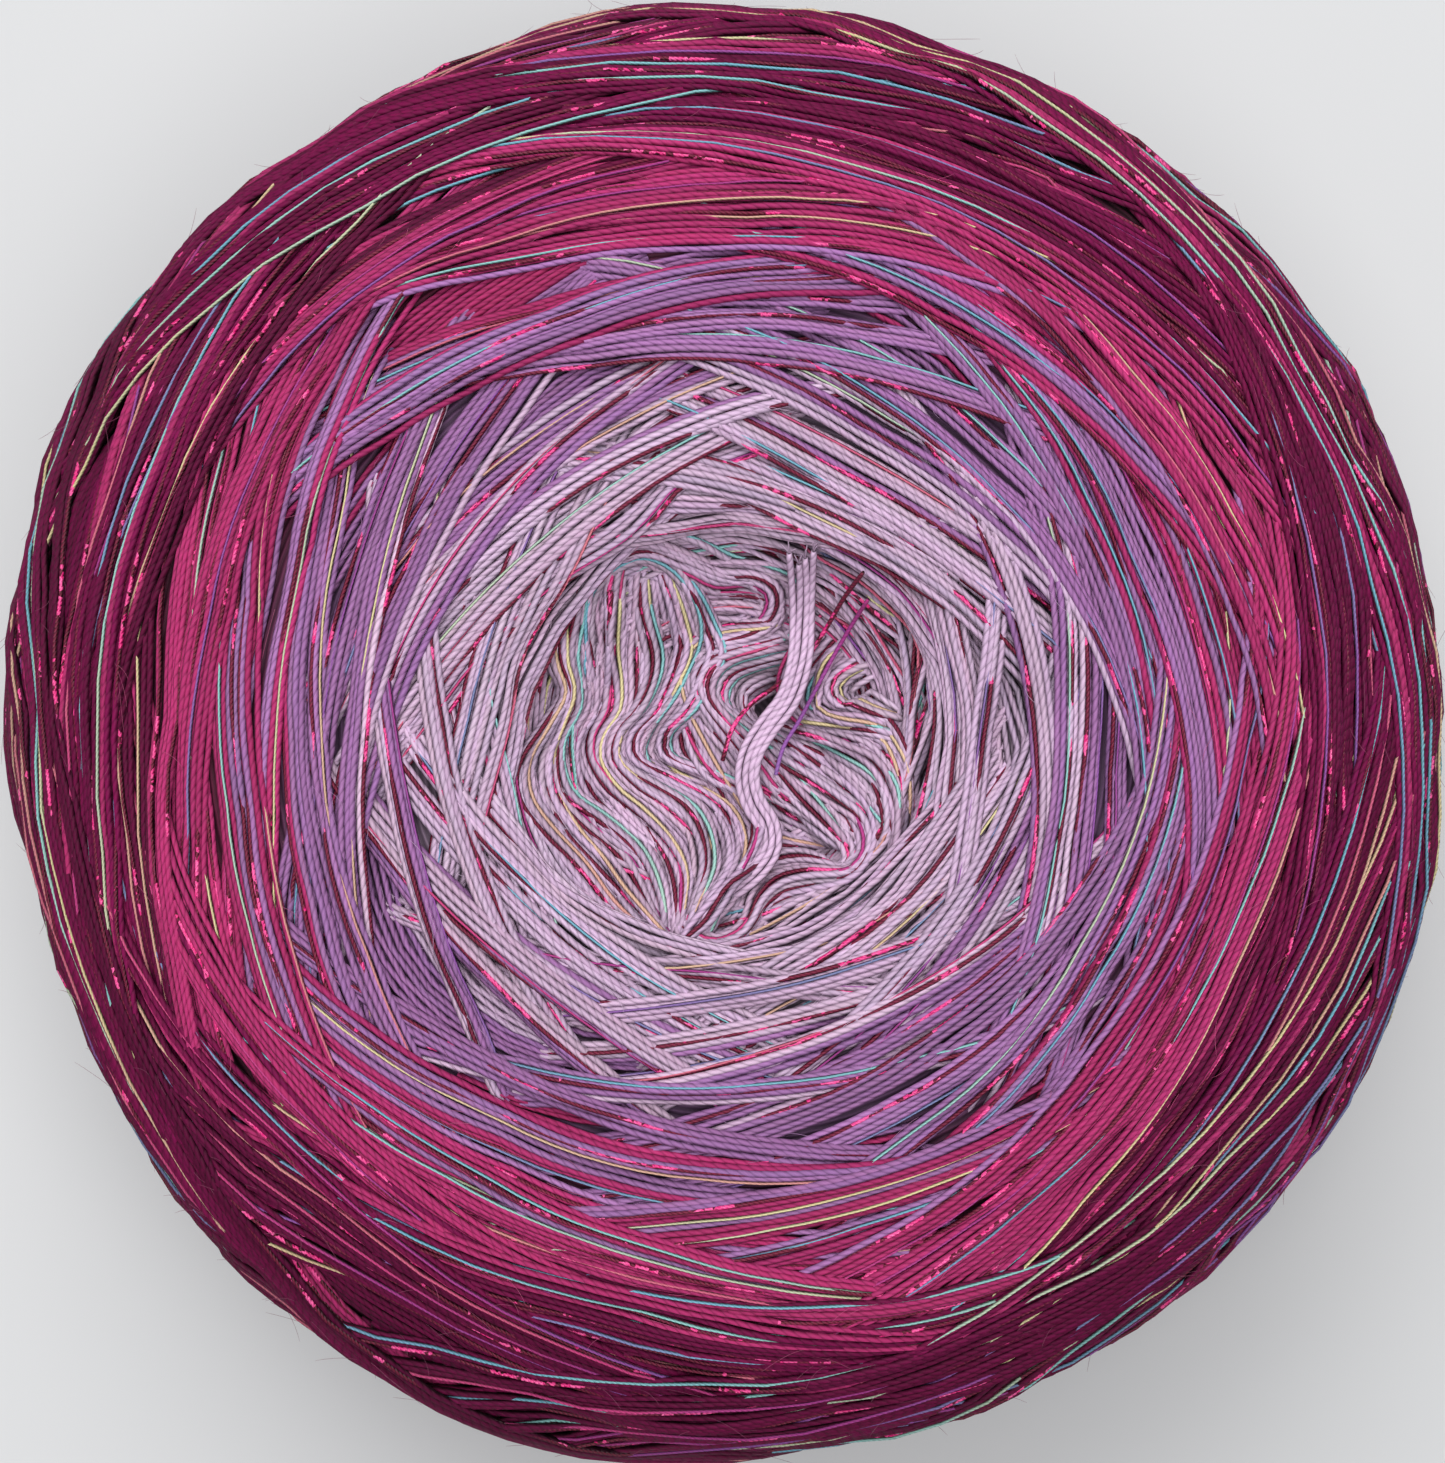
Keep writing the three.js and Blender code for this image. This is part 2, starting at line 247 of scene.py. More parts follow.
# Two plies wound round each other: their colour, with painted shade in the groove between them and on the
# strand's flanks, and their height.
plied, plied_in, plied_out = new_group(
    "Plied thread",
    [
        ("Thread", "NodeSocketVector", None),
        ("Twist Length", "NodeSocketFloat", 1.0),
        ("Groove Shade", "NodeSocketFloat", 0.4),
        ("Side Shade", "NodeSocketFloat", 0.86),
        ("Colour", "NodeSocketColor", None),
    ],
    [("Colour", "NodeSocketColor"), ("Height", "NodeSocketFloat")],
)
split = plied.nodes.new("ShaderNodeSeparateXYZ")
plied.links.new(plied_in.outputs["Thread"], split.inputs[0])
turns = maths(plied, "DIVIDE", split.outputs[0], plied_in.outputs["Twist Length"])
phase = maths(plied, "MULTIPLY", maths(plied, "SUBTRACT", split.outputs[1], turns), 2 * math.pi)
ply = maths(plied, "ABSOLUTE", maths(plied, "COSINE", phase))
fibre_place = plied.nodes.new("ShaderNodeCombineXYZ")
plied.links.new(maths(plied, "MULTIPLY", turns, 1.3), fibre_place.inputs[0])
plied.links.new(maths(plied, "MULTIPLY", maths(plied, "SINE", phase), 4.0), fibre_place.inputs[1])
plied.links.new(maths(plied, "MULTIPLY", maths(plied, "COSINE", phase), 4.0), fibre_place.inputs[2])
fibres = plied.nodes.new("ShaderNodeTexNoise")
fibres.inputs["Scale"].default_value = 1.6
fibres.inputs["Detail"].default_value = 3
plied.links.new(fibre_place.outputs[0], fibres.inputs["Vector"])
# Painted shade: the groove between the plies is coloured darker
groove = maths(plied, "POWER", maths(plied, "SUBTRACT", 1.0, ply), 2.0)
shade = maths(plied, "SUBTRACT", 1.0, maths(plied, "MULTIPLY", groove, plied_in.outputs["Groove Shade"]))
tone = maths(plied, "ADD", 0.62, maths(plied, "MULTIPLY", fibres.outputs["Fac"], 0.8))
# Painted shade: fibres on a strand's flanks, where it lies against its neighbours, are coloured darker
round_angle = maths(plied, "MULTIPLY", split.outputs[1], 2 * math.pi)
roundness = maths(plied, "SUBTRACT", 0.5, maths(plied, "MULTIPLY", maths(plied, "COSINE", round_angle), 0.5))
roundness = maths(plied, "MULTIPLY", roundness, 1.4, True)
side_shade = maths(plied, "MULTIPLY", roundness, plied_in.outputs["Side Shade"])
side_shade = maths(plied, "SUBTRACT", 1.0, side_shade)
tone = maths(plied, "MULTIPLY", tone, side_shade)
scaled = plied.nodes.new("ShaderNodeVectorMath")
scaled.operation = "SCALE"
plied.links.new(plied_in.outputs["Colour"], scaled.inputs[0])
plied.links.new(maths(plied, "MULTIPLY", shade, tone), scaled.inputs["Scale"])
plied.links.new(scaled.outputs[0], plied_out.inputs["Colour"])
height = maths(plied, "ADD", ply, maths(plied, "MULTIPLY", fibres.outputs["Fac"], 0.35))
plied.links.new(height, plied_out.inputs["Height"])


def new_material(name, roughness):
    """A material, its node tree and its shader."""
    material = bpy.data.materials.new(name)
    material.use_nodes = True
    shader = material.node_tree.nodes["Principled BSDF"]
    shader.inputs["Roughness"].default_value = roughness
    return material, material.node_tree, shader


def attribute_tint(tree):
    """The colour that a piece carries in its colour attribute."""
    tint = tree.nodes.new("ShaderNodeAttribute")
    tint.attribute_name = "tint"
    return tint.outputs["Color"]


def raised(tree, shader, height, depth):
    """Gives a shader the relief of a height socket, as deep as given in millimetres."""
    relief = tree.nodes.new("ShaderNodeBump")
    relief.inputs["Strength"].default_value = 0.8
    relief.inputs["Distance"].default_value = depth * MM
    tree.links.new(height, relief.inputs["Height"])
    tree.links.new(relief.outputs[0], shader.inputs["Normal"])


def thread_material(name, twist_length, groove_shade, bump, roughness, sheen):
    """A plied thread in its own colour, with painted shade in its grooves and flanks, its twist length and
    relief in millimetres.
    """
    material, tree, shader = new_material(name, roughness)
    place = tree.nodes.new("ShaderNodeUVMap")
    place.uv_map = "Thread"
    plies = tree.nodes.new("ShaderNodeGroup")
    plies.node_tree = plied
    plies.inputs["Twist Length"].default_value = twist_length
    plies.inputs["Groove Shade"].default_value = groove_shade
    tree.links.new(place.outputs[0], plies.inputs["Thread"])
    tree.links.new(attribute_tint(tree), plies.inputs["Colour"])
    tree.links.new(plies.outputs["Colour"], shader.inputs["Base Color"])
    raised(tree, shader, plies.outputs["Height"], bump)
    shader.inputs["Specular IOR Level"].default_value = 0.14
    shader.inputs["Sheen Weight"].default_value = sheen
    shader.inputs["Sheen Roughness"].default_value = 0.45
    return material


soft_cotton = thread_material("soft two-ply cotton", 2.0, 0.36, 0.10, 0.6, 0.02)
# Everything random in the winding comes from this one seeded source
draws = np.random.default_rng(12)

soft_route = smooth_line(SOFT_END_ROUTE, 0.7)
run = np.linspace(0, 1, len(soft_route))
soft_side = unit(np.cross(unit(np.gradient(soft_route, axis=0)), (0, 0, 1)))
soft_threads = []
for k, offset in enumerate((-1.5, -0.5, 0.5, 1.5)):
    splay = 1 + 0.35 * np.clip(run - 0.82, 0, 1) / 0.18
    sway = 0.07 * np.sin(run * 13 + k * 1.9)
    line = soft_route + soft_side * (offset * SOFT_PITCH * 0.86 * splay + sway)[:, None]
    line[:, 2] += 0.05 * np.cos(run * 17 + k * 2.3) - 0.9 * np.clip(1 - run / 0.09, 0, 1)
    line = line[: len(line) - (0, 2, 1, 0)[k]]
    soft_threads.append(
        thread(line, (0, 0, 1), SOFT_RADIUS, np.array(LILAC) * (1.16, 1.1, 1.18, 1.12)[k], 3.1 * k, 0.75)
    )
    for tuft in range(4):
        tip = unit(line[-1] - line[-3])
        lean = tip + draws.normal(0, 0.33, 3)
        hair = line[-1] + np.linspace(-0.3, 0.9 + 0.5 * draws.random(), 4)[:, None] * unit(lean)
        hair[0] = line[-1] - 0.3 * tip
        soft_threads.append(thread(hair, (0, 0, 1), 0.07, np.array(LILAC) * 1.05, 0, 0.4))
soft_end = threads_piece("soft_end_strands", soft_threads, 8, soft_cotton)
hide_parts("soft_end")

# The glitter thread's inner end: dark red filament with flakes of metallic film spun into it, 0.4 mm thick.
# It comes out under the soft end, crosses below it and stands up at the rim with its cut tip.
GLITTER_RADIUS = 0.19
GLITTER_RED = (0.19, 0.003, 0.036)
GLITTER_END_ROUTE = [
    (-0.4, -2.2, 66.2),
    (0.4, 0.4, 66.95),
    (1.9, 2.4, 66.0),
    (3.8, 3.8, 65.2),
    (5.9, 5.4, 65.5),
    (7.9, 8.3, 66.0),
    (9.6, 11.2, 68.9),
    (11.0, 13.1, 72.6),
]

# Flakes of film along a thread: where their flash is painted as a glint, in runs with plain filament between.
film, film_in, film_out = new_group(
    "Film flakes",
    [
        ("Thread", "NodeSocketVector", None),
        ("Flake Length", "NodeSocketFloat", 0.7),
        ("Run Length", "NodeSocketFloat", 16.0),
        ("Share", "NodeSocketFloat", 0.5),
    ],
    [("Flash", "NodeSocketFloat"), ("Tone", "NodeSocketFloat")],
)
split = film.nodes.new("ShaderNodeSeparateXYZ")
film.links.new(film_in.outputs["Thread"], split.inputs[0])
flake_place = film.nodes.new("ShaderNodeCombineXYZ")
flakes_along = maths(film, "DIVIDE", split.outputs[0], film_in.outputs["Flake Length"])
film.links.new(flakes_along, flake_place.inputs[0])
film.links.new(maths(film, "MULTIPLY", split.outputs[1], 3.0), flake_place.inputs[1])
cells = film.nodes.new("ShaderNodeTexVoronoi")
cells.voronoi_dimensions = "2D"
cells.inputs["Scale"].default_value = 1.0
film.links.new(flake_place.outputs[0], cells.inputs["Vector"])
cell_tone = film.nodes.new("ShaderNodeSeparateColor")
film.links.new(cells.outputs["Color"], cell_tone.inputs[0])
runs = film.nodes.new("ShaderNodeTexNoise")
runs.noise_dimensions = "1D"
runs.inputs["Scale"].default_value = 1.0
runs.inputs["Detail"].default_value = 1
film.links.new(maths(film, "DIVIDE", split.outputs[0], film_in.outputs["Run Length"]), runs.inputs["W"])
likely = maths(film, "MULTIPLY", maths(film, "SUBTRACT", runs.outputs["Fac"], 0.52, True), 9.0, True)
chance = maths(film, "MULTIPLY", likely, film_in.outputs["Share"])
film.links.new(maths(film, "LESS_THAN", cell_tone.outputs[0], chance), film_out.inputs["Flash"])
film.links.new(cell_tone.outputs[1], film_out.inputs["Tone"])

glitter_film, tree, shader = new_material("dark red glitter thread", 0.55)
place = tree.nodes.new("ShaderNodeUVMap")
place.uv_map = "Thread"
flakes = tree.nodes.new("ShaderNodeGroup")
flakes.node_tree = film
flakes.inputs["Flake Length"].default_value = 0.5
flakes.inputs["Run Length"].default_value = 9.0
flakes.inputs["Share"].default_value = 0.74
tree.links.new(place.outputs[0], flakes.inputs["Thread"])
plies = tree.nodes.new("ShaderNodeGroup")
plies.node_tree = plied
plies.inputs["Twist Length"].default_value = 0.9
plies.inputs["Groove Shade"].default_value = 0.6
plies.inputs["Colour"].default_value = (*GLITTER_RED, 1)
tree.links.new(place.outputs[0], plies.inputs["Thread"])
# Painted glints: flakes of film, pink of their own, are coloured bright pink where they flash, over the
# filament's dark red
flash_colour = mixed(tree, flakes.outputs["Tone"], (0.80, 0.012, 0.20), (1.0, 0.13, 0.40))
thread_colour = mixed(tree, flakes.outputs["Flash"], plies.outputs["Colour"], flash_colour)
tree.links.new(thread_colour, shader.inputs["Base Color"])
gloss = maths(tree, "MULTIPLY", flakes.outputs["Flash"], 0.3)
tree.links.new(maths(tree, "SUBTRACT", 0.55, gloss), shader.inputs["Roughness"])
raised(tree, shader, plies.outputs["Height"], 0.1)
shader.inputs["Specular IOR Level"].default_value = 0.5

glitter_line = smooth_line(GLITTER_END_ROUTE, 0.6)
glitter_end = threads_piece(
    "glitter_end_thread",
    [thread(glitter_line, (0, 0, 1), GLITTER_RADIUS, GLITTER_RED, 0, 0.7)],
    8,
    glitter_film,
)
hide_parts("glitter_end")

# The dyed thread's inner end: a thin smooth spun thread, dyed so that its colour changes along its length.
# It lies on the right of the soft end, magenta to violet here, and its cut tip stands up at the rim.
DYED_RADIUS = 0.165
DYED_END_ROUTE = [
    (4.0, -3.4, 66.7),
    (4.6, -1.2, 66.4),
    (5.9, 1.0, 65.9),
    (7.2, 3.4, 65.1),
    (8.8, 6.4, 65.2),
    (10.4, 9.2, 67.1),
    (11.5, 11.0, 70.6),
]
# Its colours in the order they follow each other along the thread
DYED_COLOURS = np.array(
    [
        (0.19, 0.47, 0.60),
        (0.30, 0.62, 0.60),
        (0.54, 0.64, 0.47),
        (0.78, 0.68, 0.36),
        (0.72, 0.44, 0.32),
        (0.68, 0.16, 0.24),
        (0.62, 0.06, 0.22),
        (0.40, 0.05, 0.26),
        (0.30, 0.10, 0.38),
        (0.22, 0.26, 0.48),
    ]
)


def dyed_colours(travelled):
    """The dyed thread's colour after so many of its repeats."""
    at = np.mod(travelled, 1.0) * len(DYED_COLOURS)
    low = np.floor(at).astype(int) % len(DYED_COLOURS)
    share = (at - np.floor(at))[:, None]
    share = share * share * (3 - 2 * share)
    return DYED_COLOURS[low] * (1 - share) + DYED_COLOURS[(low + 1) % len(DYED_COLOURS)] * share


dyed_cotton = thread_material("space-dyed thread", 1.0, 0.25, 0.05, 0.55, 0.05)
dyed_line = smooth_line(DYED_END_ROUTE, 0.6)
end_colours = dyed_colours(np.linspace(0.83, 0.66, len(dyed_line)))
dyed_end = threads_piece(
    "dyed_end_thread",
    [thread(dyed_line, (0, 0, 1), DYED_RADIUS * 1.2, end_colours, 0, 0.6)],
    6,
    dyed_cotton,
)
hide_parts("dyed_end")


def companion_pieces(zone, threads, glitter_sides, dyed_sides):
    """A zone's glitter threads and its dyed threads as two pieces."""
    glitter, dyed = threads["glitter"], threads["dyed"]
    threads_piece(f"{zone}_glitter_threads", glitter, glitter_sides, glitter_film)
    threads_piece(f"{zone}_dyed_threads", dyed, dyed_sides, dyed_cotton)


# The turns round the wall of the hollow: the first that were wound, round the winder's core.
# Each is four soft strands and two companion threads side by side, and lies nearly level over the last ones.
MIDDLE = np.array([0, 0, 34.0])
BEARINGS = 2100
CELL = 0.19
# They are laid on the cake's own form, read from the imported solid. A place on it is a bearing round the axis
# and a run: how far it is out from the hollow, over the crown and down the side
cake_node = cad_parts["yarn_cake"]
cake_places = np.array([v.co for v in cake_node.data.vertices])
cake_faces = [tuple(face.vertices) for face in cake_node.data.polygons]
cake_tree = BVHTree.FromPolygons([Vector(p) for p in cake_places], cake_faces)
COARSE_BEARINGS, COARSE_TILTS = 240, 260
coarse_bearings = np.arange(COARSE_BEARINGS) * 2 * np.pi / COARSE_BEARINGS
coarse_tilts = np.linspace(0.05, math.pi - 0.02, COARSE_TILTS)
distances = np.zeros((COARSE_BEARINGS, COARSE_TILTS))
for row, bearing in enumerate(coarse_bearings):
    for column, tilt in enumerate(coarse_tilts):
        level = math.sin(tilt)
        ray = Vector((level * math.cos(bearing), level * math.sin(bearing), math.cos(tilt)))
        distances[row, column] = cake_tree.ray_cast(Vector(MIDDLE * MM), ray)[3] / MM
mean_distance = distances.mean(axis=0)
profile_radius = mean_distance * np.sin(coarse_tilts)
profile_height = MIDDLE[2] + mean_distance * np.cos(coarse_tilts)
profile_run = np.concatenate([[0], np.cumsum(np.hypot(np.diff(profile_radius), np.diff(profile_height)))])
# On the crown, 20 mm out from the axis, the run is 20 mm too
widest = np.argmax(profile_radius)
profile_run += 20 - np.interp(20, profile_radius[:widest], profile_run[:widest])
RUN_START, RUN_END = 6.0, profile_run[-1] - 1.5
run_cells = int((RUN_END - RUN_START) / CELL)
cell_runs = RUN_START + CELL * np.arange(run_cells)
cell_tilts = np.interp(cell_runs, profile_run, coarse_tilts)
cell_radius = np.interp(cell_runs, profile_run, profile_radius)
cell_height = np.interp(cell_runs, profile_run, profile_height)
leaning = unit(np.stack([np.gradient(cell_radius), np.gradient(cell_height)], axis=1))
kernel = np.ones(9) / 9
cell_normal_out = np.convolve(np.pad(-leaning[:, 1], 4, mode="edge"), kernel, "valid")
cell_normal_up = np.convolve(np.pad(leaning[:, 0], 4, mode="edge"), kernel, "valid")
cell_steepness = np.sin(cell_tilts) * cell_normal_out + np.cos(cell_tilts) * cell_normal_up
offsets = distances - mean_distance
around = np.concatenate([coarse_bearings, [2 * np.pi]])
fine_bearings = np.arange(BEARINGS) * 2 * np.pi / BEARINGS
offsets = np.stack([np.interp(fine_bearings, around, np.append(c, c[0])) for c in offsets.T], axis=1)
pile_base = np.stack([np.interp(cell_tilts, coarse_tilts, row) for row in offsets]) * cell_steepness
# How far inside the solid's surface the first turn lies, from the hollow to the middle of the underside
inset = np.interp(cell_runs, [14, 17, 20, 48, 56, 105, 118, 135], [2.2, 1.8, 1.5, 1.5, 1.65, 1.65, 2.6, 1.6])
pile = pile_base - inset
# Above this level the turns sink into those below them, being soft; round the side they are pulled tighter
packed_level = np.interp(cell_runs, [50, 62], [0.5, 0.15])
UNDER_RUN = float(profile_run[-1])


def pile_index(bearing, run):
    """The cell of the pile at a bearing and a run."""
    row = np.floor(np.mod(bearing, 2 * np.pi) * BEARINGS / (2 * np.pi)).astype(int) % BEARINGS
    column = np.clip(((run - RUN_START) / CELL).astype(int), 0, run_cells - 1)
    return row, column


def cells_beside(bearing, run, flat, aside, off):
    """The cells of the pile that lie this far beside a path."""
    return pile_index(bearing + off * aside[:, 0] / flat, run + off * aside[:, 1])


def place_on_cake(bearing, run, lift):
    """Points in millimetres over the mean form, and the directions straight out of it."""
    radius = np.interp(run, cell_runs, cell_radius)
    height = np.interp(run, cell_runs, cell_height)
    out, up = np.interp(run, cell_runs, cell_normal_out), np.interp(run, cell_runs, cell_normal_up)
    cos, sin = np.cos(bearing), np.sin(bearing)
    normal = unit(np.stack([out * cos, out * sin, up], axis=1))
    return np.stack([radius * cos, radius * sin, height], axis=1) + normal * lift[:, None], normal


# Threads are laid in steps of SAMPLE, and what holds them up is looked at every STRIDE steps
SAMPLE, STRIDE = 0.2, 5
NOTHING = -9.0
DIVE, DIVE_LENGTH = 2.3, 6.5


def lay_thread(bearing, run, radius, tightness, spacing, tint, start, sunk):
    """A thread along bearings and runs, and the prints that it leaves in the pile.

    It lies on top of what is there, pulled straight over gaps as far as its tightness lets it bend, and both
    its ends dive below the turns round them. How far it is sunk may swing: mean, swing, wave and phase.
    """
    flat = np.interp(run, cell_runs, cell_radius)
    step = np.hypot(np.diff(bearing) * (flat[1:] + flat[:-1]) / 2, np.diff(run))
    at = np.concatenate([[0], np.cumsum(step)])
    even = np.arange(0, at[-1], SAMPLE)
    bearing, run = np.interp(even, at, bearing), np.interp(even, at, run)
    flat = np.interp(run, cell_runs, cell_radius)
    aside = unit(np.stack([-np.gradient(run), np.gradient(bearing) * flat], axis=1))
    ridge = np.full(len(even), NOTHING)
    for share in (-0.35, 0, 0.35):
        ridge = np.maximum(ridge, pile[cells_beside(bearing, run, flat, aside, share * radius)])
    coarse = np.arange(0, len(even), STRIDE)
    padded = np.append(ridge, [NOTHING] * (STRIDE - len(ridge) % STRIDE))
    peaks = padded.reshape(-1, STRIDE).max(axis=1)[: len(coarse)]
    apart = even[coarse][:, None] - even[coarse][None, :]
    taut = np.interp(even, even[coarse], (peaks[None, :] - tightness * apart**2).max(axis=1))
    row, column = pile_index(bearing, run)
    proud = taut - pile_base[row, column] - packed_level[column]
    if np.ndim(sunk):
        mean, swing, wave, phase = sunk
        sunk = mean + swing * np.sin(even / wave + phase)
    lift = taut - 0.5 * np.maximum(proud, 0) + radius * sunk
    from_end = np.minimum(even, even[-1] - even)
    lift = lift - DIVE * np.clip(1 - from_end / DIVE_LENGTH, 0, 1) ** 1.5
    prints = []
    for share in (-0.95, -0.5, 0, 0.5, 0.95):
        cells = cells_beside(bearing, run, flat, aside, share * radius)
        prints.append((cells, lift + radius * (0.4 if abs(share) < 0.9 else 0.3)))
    line, normal = place_on_cake(bearing, run, lift)
    line[:, 2] = np.maximum(line[:, 2], radius)
    keep = np.unique(np.round(np.linspace(0, len(even) - 1, max(3, int(at[-1] / spacing)))).astype(int))
    colours = tint if np.ndim(tint) == 1 else tint[np.linspace(0, len(tint) - 1, len(keep)).astype(int)]
    return thread(line[keep], normal[keep], radius, colours, start), prints


# The colours of the gradient, and how far from the axis each of the four strands changes to the next one.
# The yarn is made so: one strand after another is knotted on to the next colour.
VIOLET = (0.36, 0.16, 0.38)
MAGENTA = (0.425, 0.030, 0.142)
PLUM = (0.150, 0.003, 0.050)
CHANGES = [(23.5, 25.5, 28, 30.5), (35, 37.5, 40, 43), (46.5, 48.5, 50.5, 53.0)]


def strand_tint(least, strand, turn_tone):
    """The colour of one of the four strands in a turn whose least distance from the axis is given."""
    zone = sum(least > change[strand] for change in CHANGES)
    tone = np.array((LILAC, VIOLET, MAGENTA, PLUM)[zone])
    # A few of the last turns still have two strands of magenta
    if zone == 3 and turn_tone > 0.8 and strand < 2:
        tone = np.array(MAGENTA) * 0.75
    spread = (0.08, 0.12, 0.16, 0.34)[zone]
    tone = tone * (1 + spread * (2 * turn_tone - 1)) * draws.uniform(0.9, 1.1)
    return tone * (1 + draws.normal(0, 0.02, 3))


# The dyed thread goes through all its colours in this length
DYED_REPEAT = 260.0


def lay_turn(bearing, run, least, tightness, spacing, into, thickness=1.0):
    """Lays one turn of the yarn: its four soft strands and its two companion threads, side by side."""
    flat = np.interp(run, cell_runs, cell_radius)
    aside = unit(np.stack([-np.gradient(run), np.gradient(bearing) * flat], axis=1))
    at = np.concatenate([[0], np.cumsum(np.hypot(np.diff(bearing) * flat[1:], np.diff(run)))])
    flip = draws.choice((-1, 1))
    squeeze = draws.uniform(0.82, 0.98) + 0.09 * np.sin(at / draws.uniform(18, 40) + draws.uniform(0, 6.3))
    jobs = [("soft", k, (k - 1.5) * flip * SOFT_PITCH) for k in range(4)]
    jobs.append(("glitter", 0, draws.choice((-1.02, -0.5, 0.0, 0.5, 1.02))))
    jobs.append(("dyed", 0, draws.choice((-1.0, -0.5, 0.0, 0.5, 1.0))))
    printed, turn_tone = [], draws.random()
    for kind, k, offset in jobs:
        if kind == "glitter":
            for cells, level in printed:
                np.maximum.at(pile, cells, level)
        if kind == "dyed" and draws.random() < 0.2:
            continue
        drift = 0.09 if kind == "soft" else 0.22
        sway = drift * np.sin(at / draws.uniform(14, 34) + draws.uniform(0, 6.3))
        shift = offset * squeeze + sway
        path = bearing + shift * aside[:, 0] / flat, run + shift * aside[:, 1]
        start = draws.uniform(0, 900)
        if kind == "soft":
            radius = SOFT_RADIUS * thickness * draws.uniform(0.93, 1.06)
            tint = strand_tint(least, k, turn_tone)
            sunk = (0.25, 0.9, 0.9, 0.25)[k]
            laid, prints = lay_thread(*path, radius, tightness, spacing[kind], tint, start, sunk)
            printed += prints
        elif kind == "glitter":
            tint = np.array(GLITTER_RED)
            sunk = (draws.uniform(-0.8, 0.1), 0.9, draws.uniform(2.5, 6.0), draws.uniform(0, 6.3))
            laid, prints = lay_thread(*path, GLITTER_RADIUS, tightness * 2, spacing[kind], tint, start, sunk)
        else:
            tint = dyed_colours(draws.random() + np.linspace(0, at[-1] / DYED_REPEAT, 40))
            sunk = (draws.uniform(-0.2, 0.9), 0.6, draws.uniform(5.0, 12.0), draws.uniform(0, 6.3))
            laid, prints = lay_thread(*path, DYED_RADIUS, tightness * 2, spacing[kind], tint, start, sunk)
        into[kind].append(laid)


def no_threads():
    """An empty store for the threads of a zone, by kind."""
    return {"soft": [], "glitter": [], "dyed": []}


def turn_past(least, bearing, bend, reach):
    """Bearings and runs of a turn that comes within `least` of the axis at a bearing."""
    half = math.acos(least / (least + reach)) / bend
    swing = np.linspace(-half, half, 121)
    return bearing + swing, least / np.cos(bend * swing)


def emptiest(bearing, swings, runs, count, spread):
    """A bearing well past a given one, out of several drawn, at which a turn would lie lowest."""
    options = bearing + 2.4 + draws.uniform(-spread, spread, count)
    cells = [pile_index(option + swings, runs) for option in options]
    levels = [np.mean(pile[at] - pile_base[at]) for at in cells]
    return float(options[int(np.argmin(levels))])


WALL_TURNS = 42
pale = no_threads()
wall_spacing = {"soft": 1.0, "glitter": 1.3, "dyed": 1.4}
for place in range(WALL_TURNS):
    least = 6.6 + 10.6 * (place / (WALL_TURNS - 1)) + draws.uniform(-0.3, 0.3)
    bend = draws.uniform(0.2, 0.5)
    around_wall = turn_past(least, place * 2.4 + draws.uniform(-0.4, 0.4), bend, draws.uniform(0.7, 2.2))
    lay_turn(*around_wall, 20.0, 0.05, wall_spacing, pale)

# The slumped folds: inner turns that fell into the hollow when the winder's core was drawn out.
# They are flat bands of the same lilac strands, held by nothing but the turns round them, and lie in waves.
# Each row below gives both edges of a band at one place along it, as x, y and x, y in millimetres.
MAIN_BAND = [
    (-9.6, 14.6, -5.0, 13.8), (-10.9, 12.4, -4.0, 11.6), (-11.4, 9.6, -3.2, 9.0),
    (-11.8, 6.8, -2.8, 6.8), (-11.4, 4.2, -3.6, 4.4), (-11.4, 2.0, -4.8, 2.0), (-12.6, -0.2, -6.6, 0.0),
    (-12.8, -2.4, -6.4, -2.0), (-11.8, -4.8, -3.2, -3.6), (-9.6, -6.6, 0.2, -5.6),
    (-6.8, -9.2, 1.4, -8.0), (-5.4, -11.6, 1.2, -10.6), (-4.8, -14.2, -1.0, -13.6),
    (-4.8, -17.0, -2.4, -16.8),
]
HEAD_ARCH = [
    (-13.6, -2.2, -12.4, -2.2), (-13.2, 0.2, -11.6, 0.2), (-12.2, 3.0, -10.2, 3.0),
    (-12.0, 6.8, -9.8, 6.8), (-12.2, 10.4, -9.8, 10.2), (-10.8, 13.4, -9.2, 12.2),
    (-7.0, 15.2, -7.0, 13.4), (-4.2, 14.2, -5.2, 12.2), (-2.4, 11.4, -4.2, 9.8), (-2.0, 8.2, -3.8, 7.2),
    (-2.9, 5.6, -4.9, 5.0), (-3.9, 3.2, -5.8, 2.8), (-5.6, 0.6, -7.2, 0.4), (-6.2, -1.8, -7.6, -1.8),
    (-4.2, -3.8, -5.8, -4.4),
]
FOOT_LOOP = [
    (-4.8, -14.2, -3.2, -14.0), (-4.4, -16.0, -3.2, -15.2), (-3.2, -17.6, -2.4, -16.0),
    (-1.0, -18.0, -1.0, -16.4), (1.2, -17.2, 0.4, -15.8), (2.6, -15.6, 1.2, -14.8),
    (3.6, -14.2, 2.0, -13.0), (5.2, -13.4, 3.8, -11.6), (7.4, -13.0, 6.4, -11.0),
    (10.0, -12.4, 8.6, -11.0), (11.8, -10.6, 10.0, -10.8), (12.6, -8.0, 10.8, -9.4),
    (12.0, -5.8, 10.2, -7.6), (10.4, -4.2, 8.8, -6.2), (8.0, -2.0, 6.4, -4.4), (5.4, -0.2, 3.8, -2.8),
    (3.6, 1.2, 1.8, -1.4),
]
TURNED_FOLD = [
    (5.8, 9.0, 5.8, 6.2), (3.0, 8.2, 3.6, 5.8), (0.2, 7.6, 1.2, 4.8), (-2.0, 6.4, 0.4, 3.6),
    (-3.0, 4.4, 0.4, 2.2), (-2.4, 2.0, 1.8, 1.2), (-0.6, -0.8, 3.8, 0.0), (1.6, -3.6, 5.8, -1.0),
    (3.8, -6.4, 8.0, -2.8), (5.8, -8.0, 10.2, -5.2), (7.8, -9.0, 11.2, -8.0), (9.2, -9.6, 11.0, -9.8),
]
